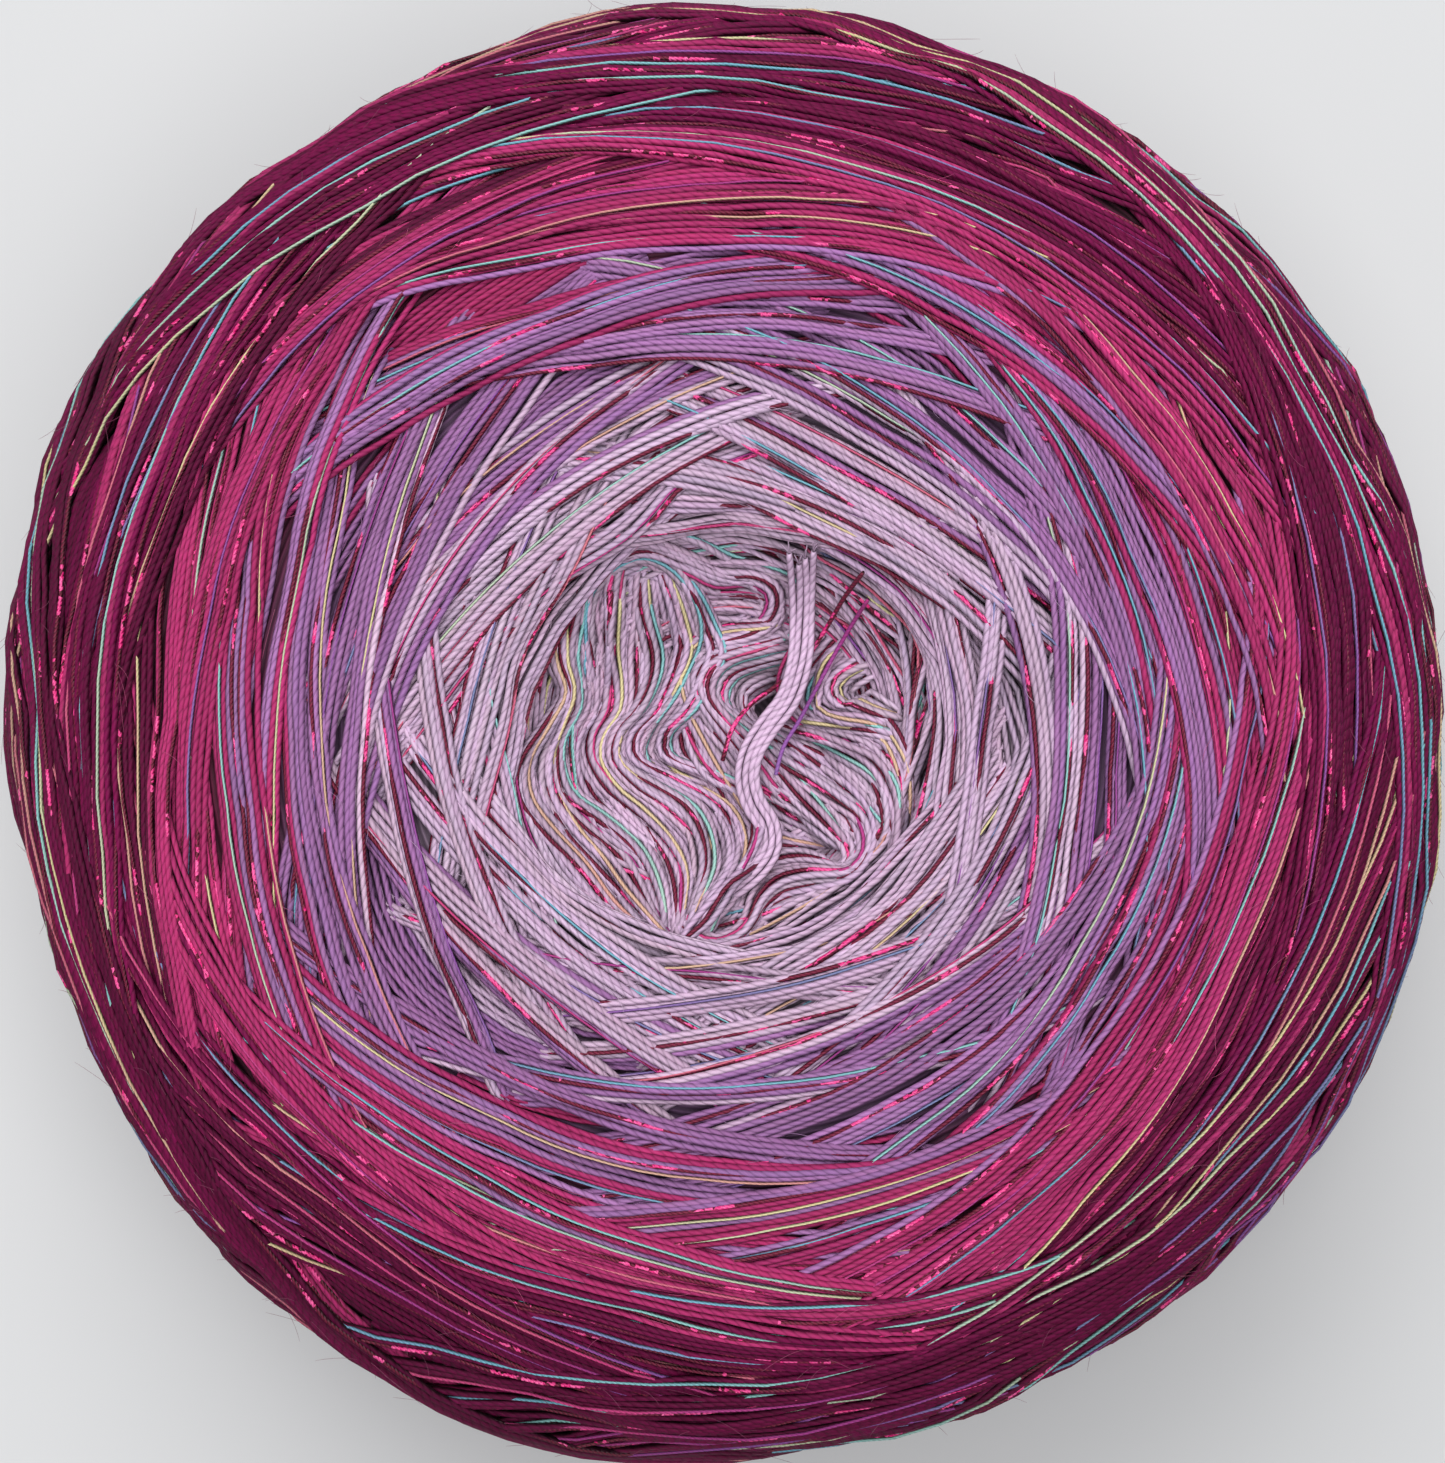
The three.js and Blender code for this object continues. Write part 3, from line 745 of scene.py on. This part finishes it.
MIDDLE_FOLD = [
    (-4.4, 1.2, -2.6, 1.4), (-4.0, -1.0, -1.0, -1.0), (-2.0, -3.4, 1.2, -3.6), (0.4, -5.0, 2.6, -5.8),
    (1.8, -7.2, 3.6, -7.8), (1.8, -9.4, 3.2, -9.8), (0.4, -11.6, 2.2, -11.6), (-1.2, -13.6, 0.4, -13.4),
]
LEFT_BAND = [
    (-14.4, 8.6, -12.0, 9.6), (-14.2, 5.8, -12.0, 6.2), (-13.4, 3.4, -11.6, 3.4),
    (-14.6, 0.6, -12.4, 0.8), (-16.0, -2.2, -13.0, -1.6), (-16.0, -5.2, -12.4, -5.0),
    (-14.4, -8.0, -10.4, -7.6), (-11.8, -10.8, -7.6, -10.0), (-9.4, -13.4, -6.0, -12.6),
    (-6.8, -15.8, -4.8, -15.4), (-4.8, -17.6, -3.8, -17.2),
]
UPPER_BAND = [
    (-10.4, 14.8, -9.6, 13.6), (-6.8, 16.2, -6.8, 14.8), (-3.2, 15.2, -3.4, 13.6),
    (-0.4, 14.0, -1.0, 12.2), (2.4, 13.6, 1.8, 12.2), (4.6, 12.6, 3.2, 11.6), (5.4, 10.6, 3.6, 10.4),
    (4.4, 8.6, 3.0, 9.2), (2.4, 7.6, 1.6, 8.4), (-0.2, 7.2, -0.6, 8.0), (-2.0, 6.8, -2.4, 7.2),
]
END_FOOT = [
    (3.6, -11.0, 1.6, -10.0), (1.9, -12.9, 0.5, -11.3), (0.6, -13.9, -0.6, -12.2),
    (-0.7, -15.0, -2.0, -13.4), (-1.6, -16.3, -3.2, -15.0), (-2.5, -17.7, -4.1, -16.7),
    (-3.4, -19.2, -5.0, -18.4),
]
RIGHT_FAN = [
    (5.2, 1.6, 4.0, -0.2), (7.8, 1.4, 7.2, -1.4), (10.4, 0.8, 10.0, -3.4), (13.0, -0.2, 11.8, -5.0),
    (14.4, -2.8, 13.2, -7.2), (14.6, -5.8, 13.2, -10.0), (14.4, -8.6, 12.2, -12.2),
]
SMALL_HAIRPIN = [
    (10.2, 8.6, 11.4, 7.2), (8.0, 6.4, 9.6, 5.8), (6.8, 4.2, 8.4, 4.0), (7.0, 2.2, 8.6, 2.4),
    (9.2, 1.0, 10.2, 2.0), (11.8, 0.4, 12.4, 1.4), (14.2, -0.2, 14.4, 0.6),
]
# A square map of what lies in the hollow: half its side, its cell, and how far below the solid it starts
HOLLOW_HALF = 18.5
HOLLOW_CELL = 0.15
FOLD_INSET = 0.75
hollow_cells = int(2 * HOLLOW_HALF / HOLLOW_CELL)
coarse_cells = 150
floor_heights = np.zeros((coarse_cells, coarse_cells))
coarse_places = np.linspace(-HOLLOW_HALF, HOLLOW_HALF, coarse_cells)
for row, x in enumerate(coarse_places):
    for column, y in enumerate(coarse_places):
        hit = cake_tree.ray_cast(Vector((x, y, 100)) * MM, Vector((0, 0, -1)))
        floor_heights[row, column] = hit[0].z / MM
fine_places = -HOLLOW_HALF + HOLLOW_CELL * (np.arange(hollow_cells) + 0.5)
floor_heights = np.stack([np.interp(fine_places, coarse_places, c) for c in floor_heights.T], axis=1)
floor_heights = np.stack([np.interp(fine_places, coarse_places, r) for r in floor_heights])
out_from_axis = np.hypot(fine_places[:, None], fine_places[None, :])
hollow_pile = floor_heights - FOLD_INSET - np.clip((out_from_axis - 14) / 3, 0, 1)
hollow_pile -= 1.2 * np.clip(65.4 - floor_heights, 0, 3) * np.clip((13 - out_from_axis) / 3, 0, 1)
# Pockets between the folds: place, half width and depth
POCKETS = [
    (-8.3, 13.0, 1.8, 2.2), (-14.4, 4.0, 1.2, 1.4), (-4.8, -2.4, 1.6, 1.8), (-2.8, 6.0, 1.3, 1.4),
    (4.5, 3.4, 2.0, 1.2), (12.0, 7.2, 2.6, 1.8), (3.8, -11.6, 1.5, 1.6), (9.4, -10.4, 1.6, 1.5),
    (-8.8, -13.2, 1.8, 1.4), (14.6, -6.2, 1.6, 1.4), (0.6, 10.2, 1.2, 1.2),
]
for x, y, half_width, pocket_depth in POCKETS:
    distance = np.hypot(fine_places[:, None] - x, fine_places[None, :] - y)
    hollow_pile -= pocket_depth * np.exp(-((distance / half_width) ** 2))
inner = cell_runs < 19
wall_bearing, wall_run = np.meshgrid(fine_bearings, cell_runs[inner], indexing="ij")
wall_top, _ = place_on_cake(wall_bearing.ravel(), wall_run.ravel(), pile[:, inner].ravel())
row, column = ((wall_top[:, :2] + HOLLOW_HALF) / HOLLOW_CELL).astype(int).T
inside = (np.abs(wall_top[:, :2]) < HOLLOW_HALF - 0.2).all(axis=1) & (np.hypot(*wall_top[:, :2].T) > 10.5)
np.maximum.at(hollow_pile, (row[inside], column[inside]), wall_top[inside, 2])
folds = no_threads()
fold_spacing = {"soft": 0.75, "glitter": 0.8, "dyed": 0.85}
FOLD_SAMPLE = 0.25
LIMPNESS = 0.22


def hollow_index(places):
    """The cells of the hollow's map at x, y places."""
    cells = np.clip((places + HOLLOW_HALF) / HOLLOW_CELL, 0, hollow_cells - 1)
    return tuple(cells.astype(int).T)


def lay_in_hollow(line, radius, tint, start, kind, sink):
    """Lays a thread along x, y places on top of what lies in the hollow, following its ups and downs."""
    line = respaced(line, FOLD_SAMPLE)
    sink = np.interp(np.linspace(0, 1, len(line)), np.linspace(0, 1, len(sink)), sink)
    aside = unit(np.gradient(line, axis=0))[:, ::-1] * (-1, 1)
    ridge = np.full(len(line), NOTHING)
    for share in (-0.35, 0, 0.35):
        ridge = np.maximum(ridge, hollow_pile[hollow_index(line + share * radius * aside)])
    ridge = 0.45 * ridge + 0.55 * hollow_pile[hollow_index(line)]
    at = FOLD_SAMPLE * np.arange(len(line))
    taut = (ridge[None, :] - LIMPNESS * (at[:, None] - at[None, :]) ** 2).max(axis=1)
    wide = 5
    taut = np.convolve(np.pad(taut, wide, mode="edge"), np.hanning(2 * wide + 3)[1:-1] / (wide + 1), "valid")
    from_end = np.minimum(at, at[-1] - at)
    lift = taut + radius * 0.7 - sink - 1.3 * np.clip(1 - from_end / 2.4, 0, 1) ** 1.5
    for share in (-0.5, 0, 0.5):
        cells = hollow_index(line + share * radius * aside)
        np.maximum.at(hollow_pile, cells, lift + radius * (0.7 if share == 0 else 0.5))
    full = np.concatenate([line, lift[:, None]], axis=1)
    away = full - MIDDLE
    distance = np.linalg.norm(away, axis=1)
    tilt = np.arctan2(np.hypot(away[:, 0], away[:, 1]), away[:, 2])
    run = np.interp(tilt, cell_tilts, cell_runs)
    rise = distance - np.interp(tilt, coarse_tilts, mean_distance)
    rise = rise * np.interp(run, cell_runs, cell_steepness)
    np.maximum.at(pile, pile_index(np.arctan2(away[:, 1], away[:, 0]), run), rise + radius * 0.5)
    points = max(4, int(at[-1] / fold_spacing[kind]))
    keep = np.unique(np.round(np.linspace(0, len(line) - 1, points)).astype(int))
    colours = tint if np.ndim(tint) == 1 else tint[np.linspace(0, len(tint) - 1, len(keep)).astype(int)]
    return thread(full[keep], (0, 0, 1), radius, colours, start)


# The threads of a band lie in ropes of six: each one's kind, and how far it lies below the rope's ridge
ROPE = ("soft", "soft", "glitter", "soft", "dyed", "soft")
ROPE_DROPS = (0.45, 0.08, -0.12, -0.08, -0.1, 0.45)
ROPE_GAP = 0.14
THREAD_WIDTHS = {"soft": 0.57, "glitter": 0.3, "dyed": 0.26}
# The ropes heave by draws of their own
heave_draws = np.random.default_rng(5)


def lay_band(rows, low=0.0, high=1.0, sink=0.0, rounding=1.2, heaving=0.24, head_drop=0.0):
    """Lays a band of ropes between two shares of its width, its edges rounded down and its head dropped."""
    rows = np.array(rows, float)
    fine = np.linspace(0, len(rows) - 1, 16 * len(rows))
    slope = np.gradient(rows, axis=0)
    k = np.minimum(fine.astype(int), len(rows) - 2)
    t = (fine - k)[:, None]
    edges = curved(rows, slope, k, t)
    wide = np.linalg.norm(edges[:, :2] - edges[:, 2:], axis=1)
    width = np.percentile(wide, 75) * (high - low)
    order, used, k = [], 0.0, int(draws.integers(0, 6))
    while used < width:
        kind = ROPE[k % 6]
        order.append((kind, used + THREAD_WIDTHS[kind] / 2, k))
        used += THREAD_WIDTHS[kind] + (ROPE_GAP if k % 6 == 5 else 0)
        k += 1
    edges_first = sorted(order, key=lambda item: -abs(item[1] / used - 0.5))
    sways = draws.uniform(0, 6.3, (k // 6 + 1, 2))
    heaves = heave_draws.uniform(0, 6.3, (k // 6 + 1, 2))
    along = np.linspace(0, 1, len(edges))
    for kind, off, k in edges_first:
        rope = k // 6
        q = low + (high - low) * min(off / used, 1)
        swing = along * (8 + 1.5 * sways[rope, 0]) + sways[rope, 1]
        q = q + 0.32 / max(width, 1) * (high - low) * np.sin(swing)
        q = q + 0.35 / max(width, 1) * 0.5 * np.sin(along * draws.uniform(6, 14) + draws.uniform(0, 6.3))
        q = np.clip(q, low, high)[:, None]
        line = edges[:, :2] * (1 - q) + edges[:, 2:] * q
        if kind == "soft":
            tint = np.array(LILAC) * draws.uniform(0.84, 1.12) * (1 + draws.normal(0, 0.02, 3))
            radius = SOFT_RADIUS * draws.uniform(0.92, 1.05)
        elif kind == "glitter":
            tint, radius = np.array(GLITTER_RED), GLITTER_RADIUS
        else:
            first = draws.choice((0.02, 0.3, 0.33, 0.56, 0.6, 0.05))
            tint = dyed_colours(first + draws.uniform(-0.04, 0.04) + np.linspace(0, 0.1, 40))
            radius = DYED_RADIUS * 1.1
        edge_drop = rounding * abs(2 * off / used - 1) ** 3 + draws.uniform(-0.06, 0.14)
        edge_drop += ROPE_DROPS[k % 6]
        heave = along * (7 + 1.4 * heaves[rope, 0]) + heaves[rope, 1]
        drop = sink + edge_drop + heaving * (1 + np.sin(heave))
        drop = drop + head_drop * np.clip(1 - np.linspace(0, 8, len(edges)), 0, 1)
        folds[kind].append(lay_in_hollow(line, radius, tint, draws.uniform(0, 900), kind, drop))


# Deep strands first, wider than the bands that show, so that nothing bare shows between them
for band, low, high in (
    (RIGHT_FAN, -0.4, 1.4),
    (MIDDLE_FOLD, -1.2, 1.8),
    (UPPER_BAND, -0.6, 2.2),
    (TURNED_FOLD, -0.6, 1.9),
    (FOOT_LOOP, -0.4, 1.8),
    (LEFT_BAND, -0.4, 1.4),
    (SMALL_HAIRPIN, -1.6, 2.6),
    (MAIN_BAND, -0.2, 1.4),
):
    lay_band(band, low, high, sink=0.25, rounding=0.2, heaving=0.0)
for band in (LEFT_BAND, MIDDLE_FOLD, RIGHT_FAN, SMALL_HAIRPIN, TURNED_FOLD, UPPER_BAND):
    lay_band(band)
lay_band(MAIN_BAND, head_drop=1.3)
for band in (HEAD_ARCH, FOOT_LOOP):
    lay_band(band)
lay_band(END_FOOT, heaving=0.0)
threads_piece("slumped_folds", folds["soft"], 5, soft_cotton)
companion_pieces("fold", folds, 4, 4)

# The crown's turns, wound from the hollow outward in lilac, violet and magenta. Each comes in, runs past the
# hollow as nearly straight as it can and goes out again under the turns that follow, which hold it.
# Neighbours lie side by side in bands that cross other bands.
magenta = no_threads()
crown_spacing = {"soft": 1.7, "glitter": 2.2, "dyed": 2.4}


def crown_bend(least):
    """How much a turn that comes this near to the axis bends round it: 0 is straight and 1 a circle."""
    return float(np.interp(least, [15, 20, 27, 36, 50], [0.78, 0.85, 0.76, 0.67, 0.62]))


# The bundles round the hollow that stand out: when each is laid, its corners and how many turns wide it is
HAND_LAID = [
    (17.0, [(-20.7, 14), (-19.9, 4.4), (-17.5, -5.4), (-14.6, -15.6)], 2),
    (17.4, [(16.4, 16.2), (17.9, 8.5), (19.3, 1.3), (18.9, -6.0), (17.9, -11.4)], 1),
    (17.8, [(-25, -0.2), (-18.5, 7.9), (-13.1, 12.6), (-7.2, 16.9), (-3.2, 20.9), (0.4, 22.4)], 3),
    (18.2, [(-0.4, 20.9), (5.8, 19.1), (12.4, 16.9), (16.7, 16.6)], 1),
    (18.6, [(17.5, -6.4), (13.2, -11.8), (8, -16.2), (2.2, -19.8), (-2.9, -23.8)], 3),
    (18.8, [(5.1, 17.6), (11.3, 14.7), (16.4, 11.8), (21.1, 8.5)], 2),
    (19.2, [(-21.5, -15.9), (-13.4, -18.0), (-1.5, -19.2), (10.4, -20.5), (18.5, -20.8)], 1),
]
waiting = list(HAND_LAID)
least, bearing = 15.5, 0.3
while least < 49:
    while waiting and waiting[0][0] < least:
        _, corners, turns_wide = waiting.pop(0)
        for place in range(turns_wide):
            line = smooth_line([(x, y, 0) for x, y in corners], 1.0)[:, :2]
            outward = 0.45 + 2.3 * place
            line = line * (1 + outward / np.linalg.norm(line, axis=1))[:, None]
            # Both ends run on, straight, under their neighbours
            first, last = unit(line[0] - line[3]), unit(line[-1] - line[-4])
            before = line[:1] + first * np.arange(9, 0, -1)[:, None]
            after = line[-1:] + last * np.arange(1, 10)[:, None]
            line = np.concatenate([before, line, after])
            angles = np.unwrap(np.arctan2(line[:, 1], line[:, 0]))
            lay_turn(angles, np.linalg.norm(line, axis=1), 20.0, 0.05, crown_spacing, pale)
    group = int(draws.integers(1, 4) if least < 30 else draws.integers(2, 5))
    lean = draws.uniform(-0.1, 0.1)
    bend = crown_bend(least) * draws.uniform(0.85, 1.15)
    bearing = emptiest(bearing, *turn_past(least + group, 0.0, bend, 4.0), 2, 0.5)
    wide = 0.0
    for place in range(group):
        nearest = least + wide
        reach = 9.0 if least < 25 else 11.0
        path = turn_past(nearest, bearing + lean * place + draws.uniform(-0.04, 0.04), bend, reach)
        into = pale if nearest < 33 else magenta
        lay_turn(*path, nearest, 0.05 if least < 30 else 0.035, crown_spacing, into)
        wide += 2.3 + draws.uniform(-0.35, 0.6)
    least += group * (0.31 if least < 33 else 0.26)

for zone, threads in (("pale", pale), ("magenta", magenta)):
    piece = threads_piece(f"{zone}_windings", threads["soft"], 5, soft_cotton)
    if zone == "pale":
        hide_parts("yarn_cake")
    companion_pieces(zone, threads, 4, 3)

# The turns under the cake, wound at the same time as the crown's and of the same strands and colours.
# They are pressed flat where the cake stands on them.
under = no_threads()
under_spacing = {"soft": 3.4, "glitter": 4.2, "dyed": 4.6}
least = 3.5
while least < 46:
    group = int(draws.integers(3, 6))
    bend = crown_bend(least)
    turn_bearings, outs = turn_past(least + 1.5 * group, 0.0, bend, 8.0)
    bearing = emptiest(bearing, turn_bearings, UNDER_RUN - outs, 2, 0.5)
    for place in range(group):
        nearest = least + place * 2.35
        turn_bearings, outs = turn_past(nearest, bearing + draws.uniform(-0.04, 0.04), bend, 8.0)
        lay_turn(turn_bearings, UNDER_RUN - outs, nearest + 9, 0.04, under_spacing, under, 1.05)
    least += group * 0.6

# The plum turns: the last that were wound, of the same four strands and two companion threads.
# Each runs near the edge of the crown, slants down round the side, passes under the cake and slants up
# again, crossing the turns before it, in bands of four turns.
plum = [no_threads() for _ in range(3)]
plum_spacing = {"soft": 3.4, "glitter": 4.2, "dyed": 4.8}
PLUM_TURNS = 56
for turn in range(PLUM_TURNS):
    share = turn / (PLUM_TURNS - 1)
    if turn % 4 == 0:
        slant = math.radians(draws.uniform(18, 26))
        bend = draws.uniform(0.5, 0.8)
        band_least = 46.5 + 13.0 * share
    nearest = band_least + (turn % 4) * 2.3
    under_least = 44 + 14 * share + (turn % 4) * 1.6
    steepest = math.atan(math.tan(slant) / bend) / bend
    top_swing = np.linspace(0, steepest, 50)
    top_run = nearest / np.cos(bend * top_swing)
    top_swing, top_run = top_swing[top_run < 88], top_run[top_run < 88]
    low_swing = np.linspace(0, steepest, 50)
    low_run = under_least / np.cos(bend * low_swing)
    low_swing, low_run = low_swing[low_run < 80], low_run[low_run < 80]
    drop = (UNDER_RUN - low_run[-1]) - top_run[-1]
    side_swing = drop / (64.5 * math.tan(slant))
    half_swing = np.concatenate(
        [
            top_swing,
            top_swing[-1] + np.linspace(0, side_swing, 60)[1:-1],
            top_swing[-1] + side_swing + low_swing[-1] - low_swing[::-1],
        ]
    )
    half_run = np.concatenate(
        [top_run, np.linspace(top_run[-1], UNDER_RUN - low_run[-1], 60)[1:-1], UNDER_RUN - low_run[::-1]]
    )
    swings = np.concatenate([-half_swing[:0:-1], half_swing])
    runs_out = np.concatenate([half_run[:0:-1], half_run])
    if turn % 4 == 0:
        bearing = emptiest(bearing, swings, runs_out, 6, 1.1)
    start = bearing + (turn % 4) * 0.05
    into = plum[min(2, turn * 3 // PLUM_TURNS)]
    lay_turn(start + swings, runs_out, nearest + 1.5, 0.035, plum_spacing, into, 1.04)
for index, threads in enumerate(plum):
    threads_piece(f"plum_windings_{index + 1}", threads["soft"], 4, soft_cotton)
threads_piece("under_windings", under["soft"], 4, soft_cotton)
every = {kind: under[kind] + plum[0][kind] + plum[1][kind] + plum[2][kind] for kind in ("glitter", "dyed")}
companion_pieces("side", every, 3, 3)

# The turns deep in the cake, which show in the gaps between the last ones: soft strands side by side, nearly
# level. Only the lengths of them round a gap are made, since the later turns lie over the rest.
MARGIN = 4.5
deep = []
empty = pile < pile_base - inset + 0.05
empty[:, (cell_runs < 15) | (cell_runs > UNDER_RUN - 2)] = False
gap_cells = empty.copy()
for shift in (-2, -1, 1, 2):
    gap_cells &= np.roll(empty, shift, axis=0)
gap_cells &= np.roll(gap_cells, 2, axis=1) & np.roll(gap_cells, -2, axis=1)
for ring_run in np.arange(15.3, UNDER_RUN - 1.6, SOFT_PITCH):
    wave = min(2.6, 0.15 * (UNDER_RUN - ring_run))
    ring_runs = np.maximum(ring_run + wave * np.sin(3 * fine_bearings + ring_run * 0.09), 14)
    row, column = pile_index(fine_bearings, ring_runs)
    shows = gap_cells[row, column] | gap_cells[row, np.maximum(column - 2, 0)]
    shows = shows | gap_cells[row, np.minimum(column + 2, run_cells - 1)]
    if not shows.any():
        continue
    flat = float(np.interp(ring_run, cell_runs, cell_radius))
    cell_length = flat * 2 * math.pi / BEARINGS
    margin = int(MARGIN / cell_length)
    so_far = np.cumsum(np.concatenate([shows, shows, shows]))
    up_to, before = so_far[BEARINGS + margin :], so_far[BEARINGS - margin - 1 :]
    near = up_to[:BEARINGS] - before[:BEARINGS] > 0
    if near.all():
        near[0] = False
    first = int(np.argmin(near))
    near, order = np.roll(near, -first), np.roll(np.arange(BEARINGS), -first)
    starts = np.flatnonzero(near[1:] & ~near[:-1]) + 1
    ends = np.append(np.flatnonzero(near[:-1] & ~near[1:]) + 1, BEARINGS)[: len(starts)]
    least = ring_run if ring_run < 90 else UNDER_RUN - ring_run + 9
    for begin, end in zip(starts, ends):
        points = max(3, int((end - begin) * cell_length / 3.2))
        at = order[np.unique(np.linspace(begin, end - 1, points).astype(int))]
        level = (pile_base - inset)[row[at], column[at]] - 0.24 + draws.uniform(-0.06, 0.06)
        line, normal = place_on_cake(fine_bearings[at], ring_runs[at], level)
        line[:, 2] = np.maximum(line[:, 2], SOFT_RADIUS)
        # Painted shade: the deep turns are coloured darker than the strands over them
        tint = strand_tint(least, int(draws.integers(0, 4)), draws.random()) * 0.85
        deep.append(thread(line, normal, SOFT_RADIUS, tint, draws.uniform(0, 900)))
threads_piece("deep_turns", deep, 4, soft_cotton)

# The body of the cake under all of them: hundreds of turns, pressed together, that only show between the
# strands.
# It is one closed body inside the wound surface, in the colours of the zones, darkened as painted shade.
core_mesh = cake_node.data.copy()
core_mesh.name = "inner_turns"
core_mesh.materials.clear()
welded = bmesh.new()
welded.from_mesh(core_mesh)
bmesh.ops.remove_doubles(welded, verts=welded.verts, dist=0.00001)
bmesh.ops.recalc_face_normals(welded, faces=welded.faces)
for face in welded.faces:
    face.smooth = True
welded.to_mesh(core_mesh)
welded.free()
for edge_mark in ("sharp_edge", "custom_normal"):
    if edge_mark in core_mesh.attributes:
        core_mesh.attributes.remove(core_mesh.attributes[edge_mark])
core_places = np.array([v.co for v in core_mesh.vertices]) / MM
core_normals = np.array([v.normal for v in core_mesh.vertices])
out = np.hypot(core_places[:, 0], core_places[:, 1])
top = core_places[:, 2] > 60
top_depth = np.interp(out, [15, 19, 22], [3.4, 2.8, 2.15])
depth = np.where(top, top_depth, np.interp(core_places[:, 2], [14, 24], [3.4, 2.3]))
core_places = core_places - core_normals * depth[:, None]
core_places[:, 2] = np.maximum(core_places[:, 2], 0.6)
core_mesh.vertices.foreach_set("co", (core_places * MM).ravel())
colours = core_mesh.color_attributes.new("tint", "FLOAT_COLOR", "POINT")
zone = np.where(core_places[:, 2] > 34, out, np.minimum(out + 9, 70))
zone = np.where((core_places[:, 2] > 8) & (core_places[:, 2] < 58), 70, zone)
steps = [0, 25, 31, 36, 41, 46, 51, 80]
tones = np.array([LILAC, LILAC, VIOLET, VIOLET, MAGENTA, MAGENTA, PLUM, PLUM])
# Painted shade: the colours of the zones are darkened to about a third
tint = np.stack([np.interp(zone, steps, tones[:, c]) for c in range(3)], axis=1) * 0.36
colours.data.foreach_set("color", np.concatenate([tint, np.ones((len(tint), 1))], axis=1).ravel())
core_mesh.update()
inner_turns = bpy.data.objects.new("inner_turns", core_mesh)
bpy.context.scene.collection.objects.link(inner_turns)

deep_yarn, tree, shader = new_material("yarn deep in the cake", 0.8)
coordinates = tree.nodes.new("ShaderNodeTexCoord")
turns_texture = tree.nodes.new("ShaderNodeTexWave")
turns_texture.wave_type = "RINGS"
turns_texture.rings_direction = "Z"
turns_texture.inputs["Scale"].default_value = 560
turns_texture.inputs["Distortion"].default_value = 1.5
turns_texture.inputs["Detail"].default_value = 2
tree.links.new(coordinates.outputs["Object"], turns_texture.inputs["Vector"])
shaded = tree.nodes.new("ShaderNodeVectorMath")
shaded.operation = "SCALE"
tree.links.new(attribute_tint(tree), shaded.inputs[0])
# Painted shade: darker between the rings of turns
painted_ring_shade = maths(tree, "ADD", 0.45, maths(tree, "MULTIPLY", turns_texture.outputs["Fac"], 0.55))
tree.links.new(painted_ring_shade, shaded.inputs["Scale"])
tree.links.new(shaded.outputs[0], shader.inputs["Base Color"])
raised(tree, shader, turns_texture.outputs["Fac"], 0.2)
core_mesh.materials.append(deep_yarn)
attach(inner_turns, "root")
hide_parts("yarn_cake")

# The fuzz: single cotton and acrylic fibres that stand out of the strands all over the cake.
# Each is a few millimetres long, is held by its strand's twist, leaves it at a low angle and curls.
HAIRS = 1600
HAIR_RADIUS = 0.018
hairs = []
rows = draws.integers(0, BEARINGS, HAIRS)
columns = (draws.beta(1.1, 1.2, HAIRS) * 110 / CELL).astype(int) + int(6 / CELL)
for row, column in zip(rows, columns):
    bearing, run = row * 2 * np.pi / BEARINGS, cell_runs[column]
    root, normal = place_on_cake(np.array([bearing]), np.array([run]), np.array([pile[row, column] - 0.1]))
    swirl = np.array([-math.sin(bearing), math.cos(bearing), 0]) * draws.choice((-1, 1))
    length = draws.uniform(1.0, 3.4)
    share = np.linspace(0, 1, 7)[:, None]
    rise = length * draws.uniform(0.1, 0.42)
    curl = unit(draws.normal(0, 1, 3)) * length * 0.42
    line = root + swirl * share * length + normal * rise * share**1.4 + curl * share**2
    line += normal * 0.12
    out = math.hypot(root[0, 0], root[0, 1])
    zones = np.array((LILAC, VIOLET, MAGENTA, MAGENTA, PLUM))
    tint = np.array([np.interp(out, [25, 33, 39, 48, 54], zones[:, c]) for c in range(3)])
    hairs.append(thread(line, normal[0], HAIR_RADIUS, tint * 1.15 + 0.02, 0, 0.5))
fibre, tree, shader = new_material("loose fibres", 0.7)
tree.links.new(attribute_tint(tree), shader.inputs["Base Color"])
shader.inputs["Sheen Weight"].default_value = 0.3
threads_piece("fuzz", hairs, 3, fibre)

# The floor: a plain pale table top under the cake.
floor_mesh = bpy.data.meshes.new("floor")
floor_mesh.from_pydata([(-3, -3, 0), (3, -3, 0), (3, 3, 0), (-3, 3, 0)], [], [(0, 1, 2, 3)])
floor = bpy.data.objects.new("floor", floor_mesh)
floor.location.z = -0.0001
bpy.context.scene.collection.objects.link(floor)
table, _, shader = new_material("pale table", 0.9)
shader.inputs["Base Color"].default_value = (0.615, 0.62, 0.625, 1)
floor_mesh.materials.append(table)

# The light: soft daylight from overhead, a little stronger from the upper left, and a pale room round it.
world = bpy.data.worlds.new("room")
world.use_nodes = True
world.node_tree.nodes["Background"].inputs["Color"].default_value = (0.95, 0.97, 1.0, 1)
world.node_tree.nodes["Background"].inputs["Strength"].default_value = 0.34
bpy.context.scene.world = world
for name, place, size, power in (
    ("window", (-0.2, 0.85, 1.25), 1.0, 15.0),
    ("lamp", (0.1, -0.15, 1.5), 1.1, 12.5),
):
    light = bpy.data.lights.new(name, "AREA")
    light.size = size
    light.energy = power
    lamp = bpy.data.objects.new(name, light)
    lamp.location = place
    lamp.rotation_euler = (-Vector(place)).to_track_quat("-Z", "Y").to_euler()
    bpy.context.scene.collection.objects.link(lamp)
bpy.context.scene.view_settings.view_transform = "Standard"

bpy.context.view_layer.update()
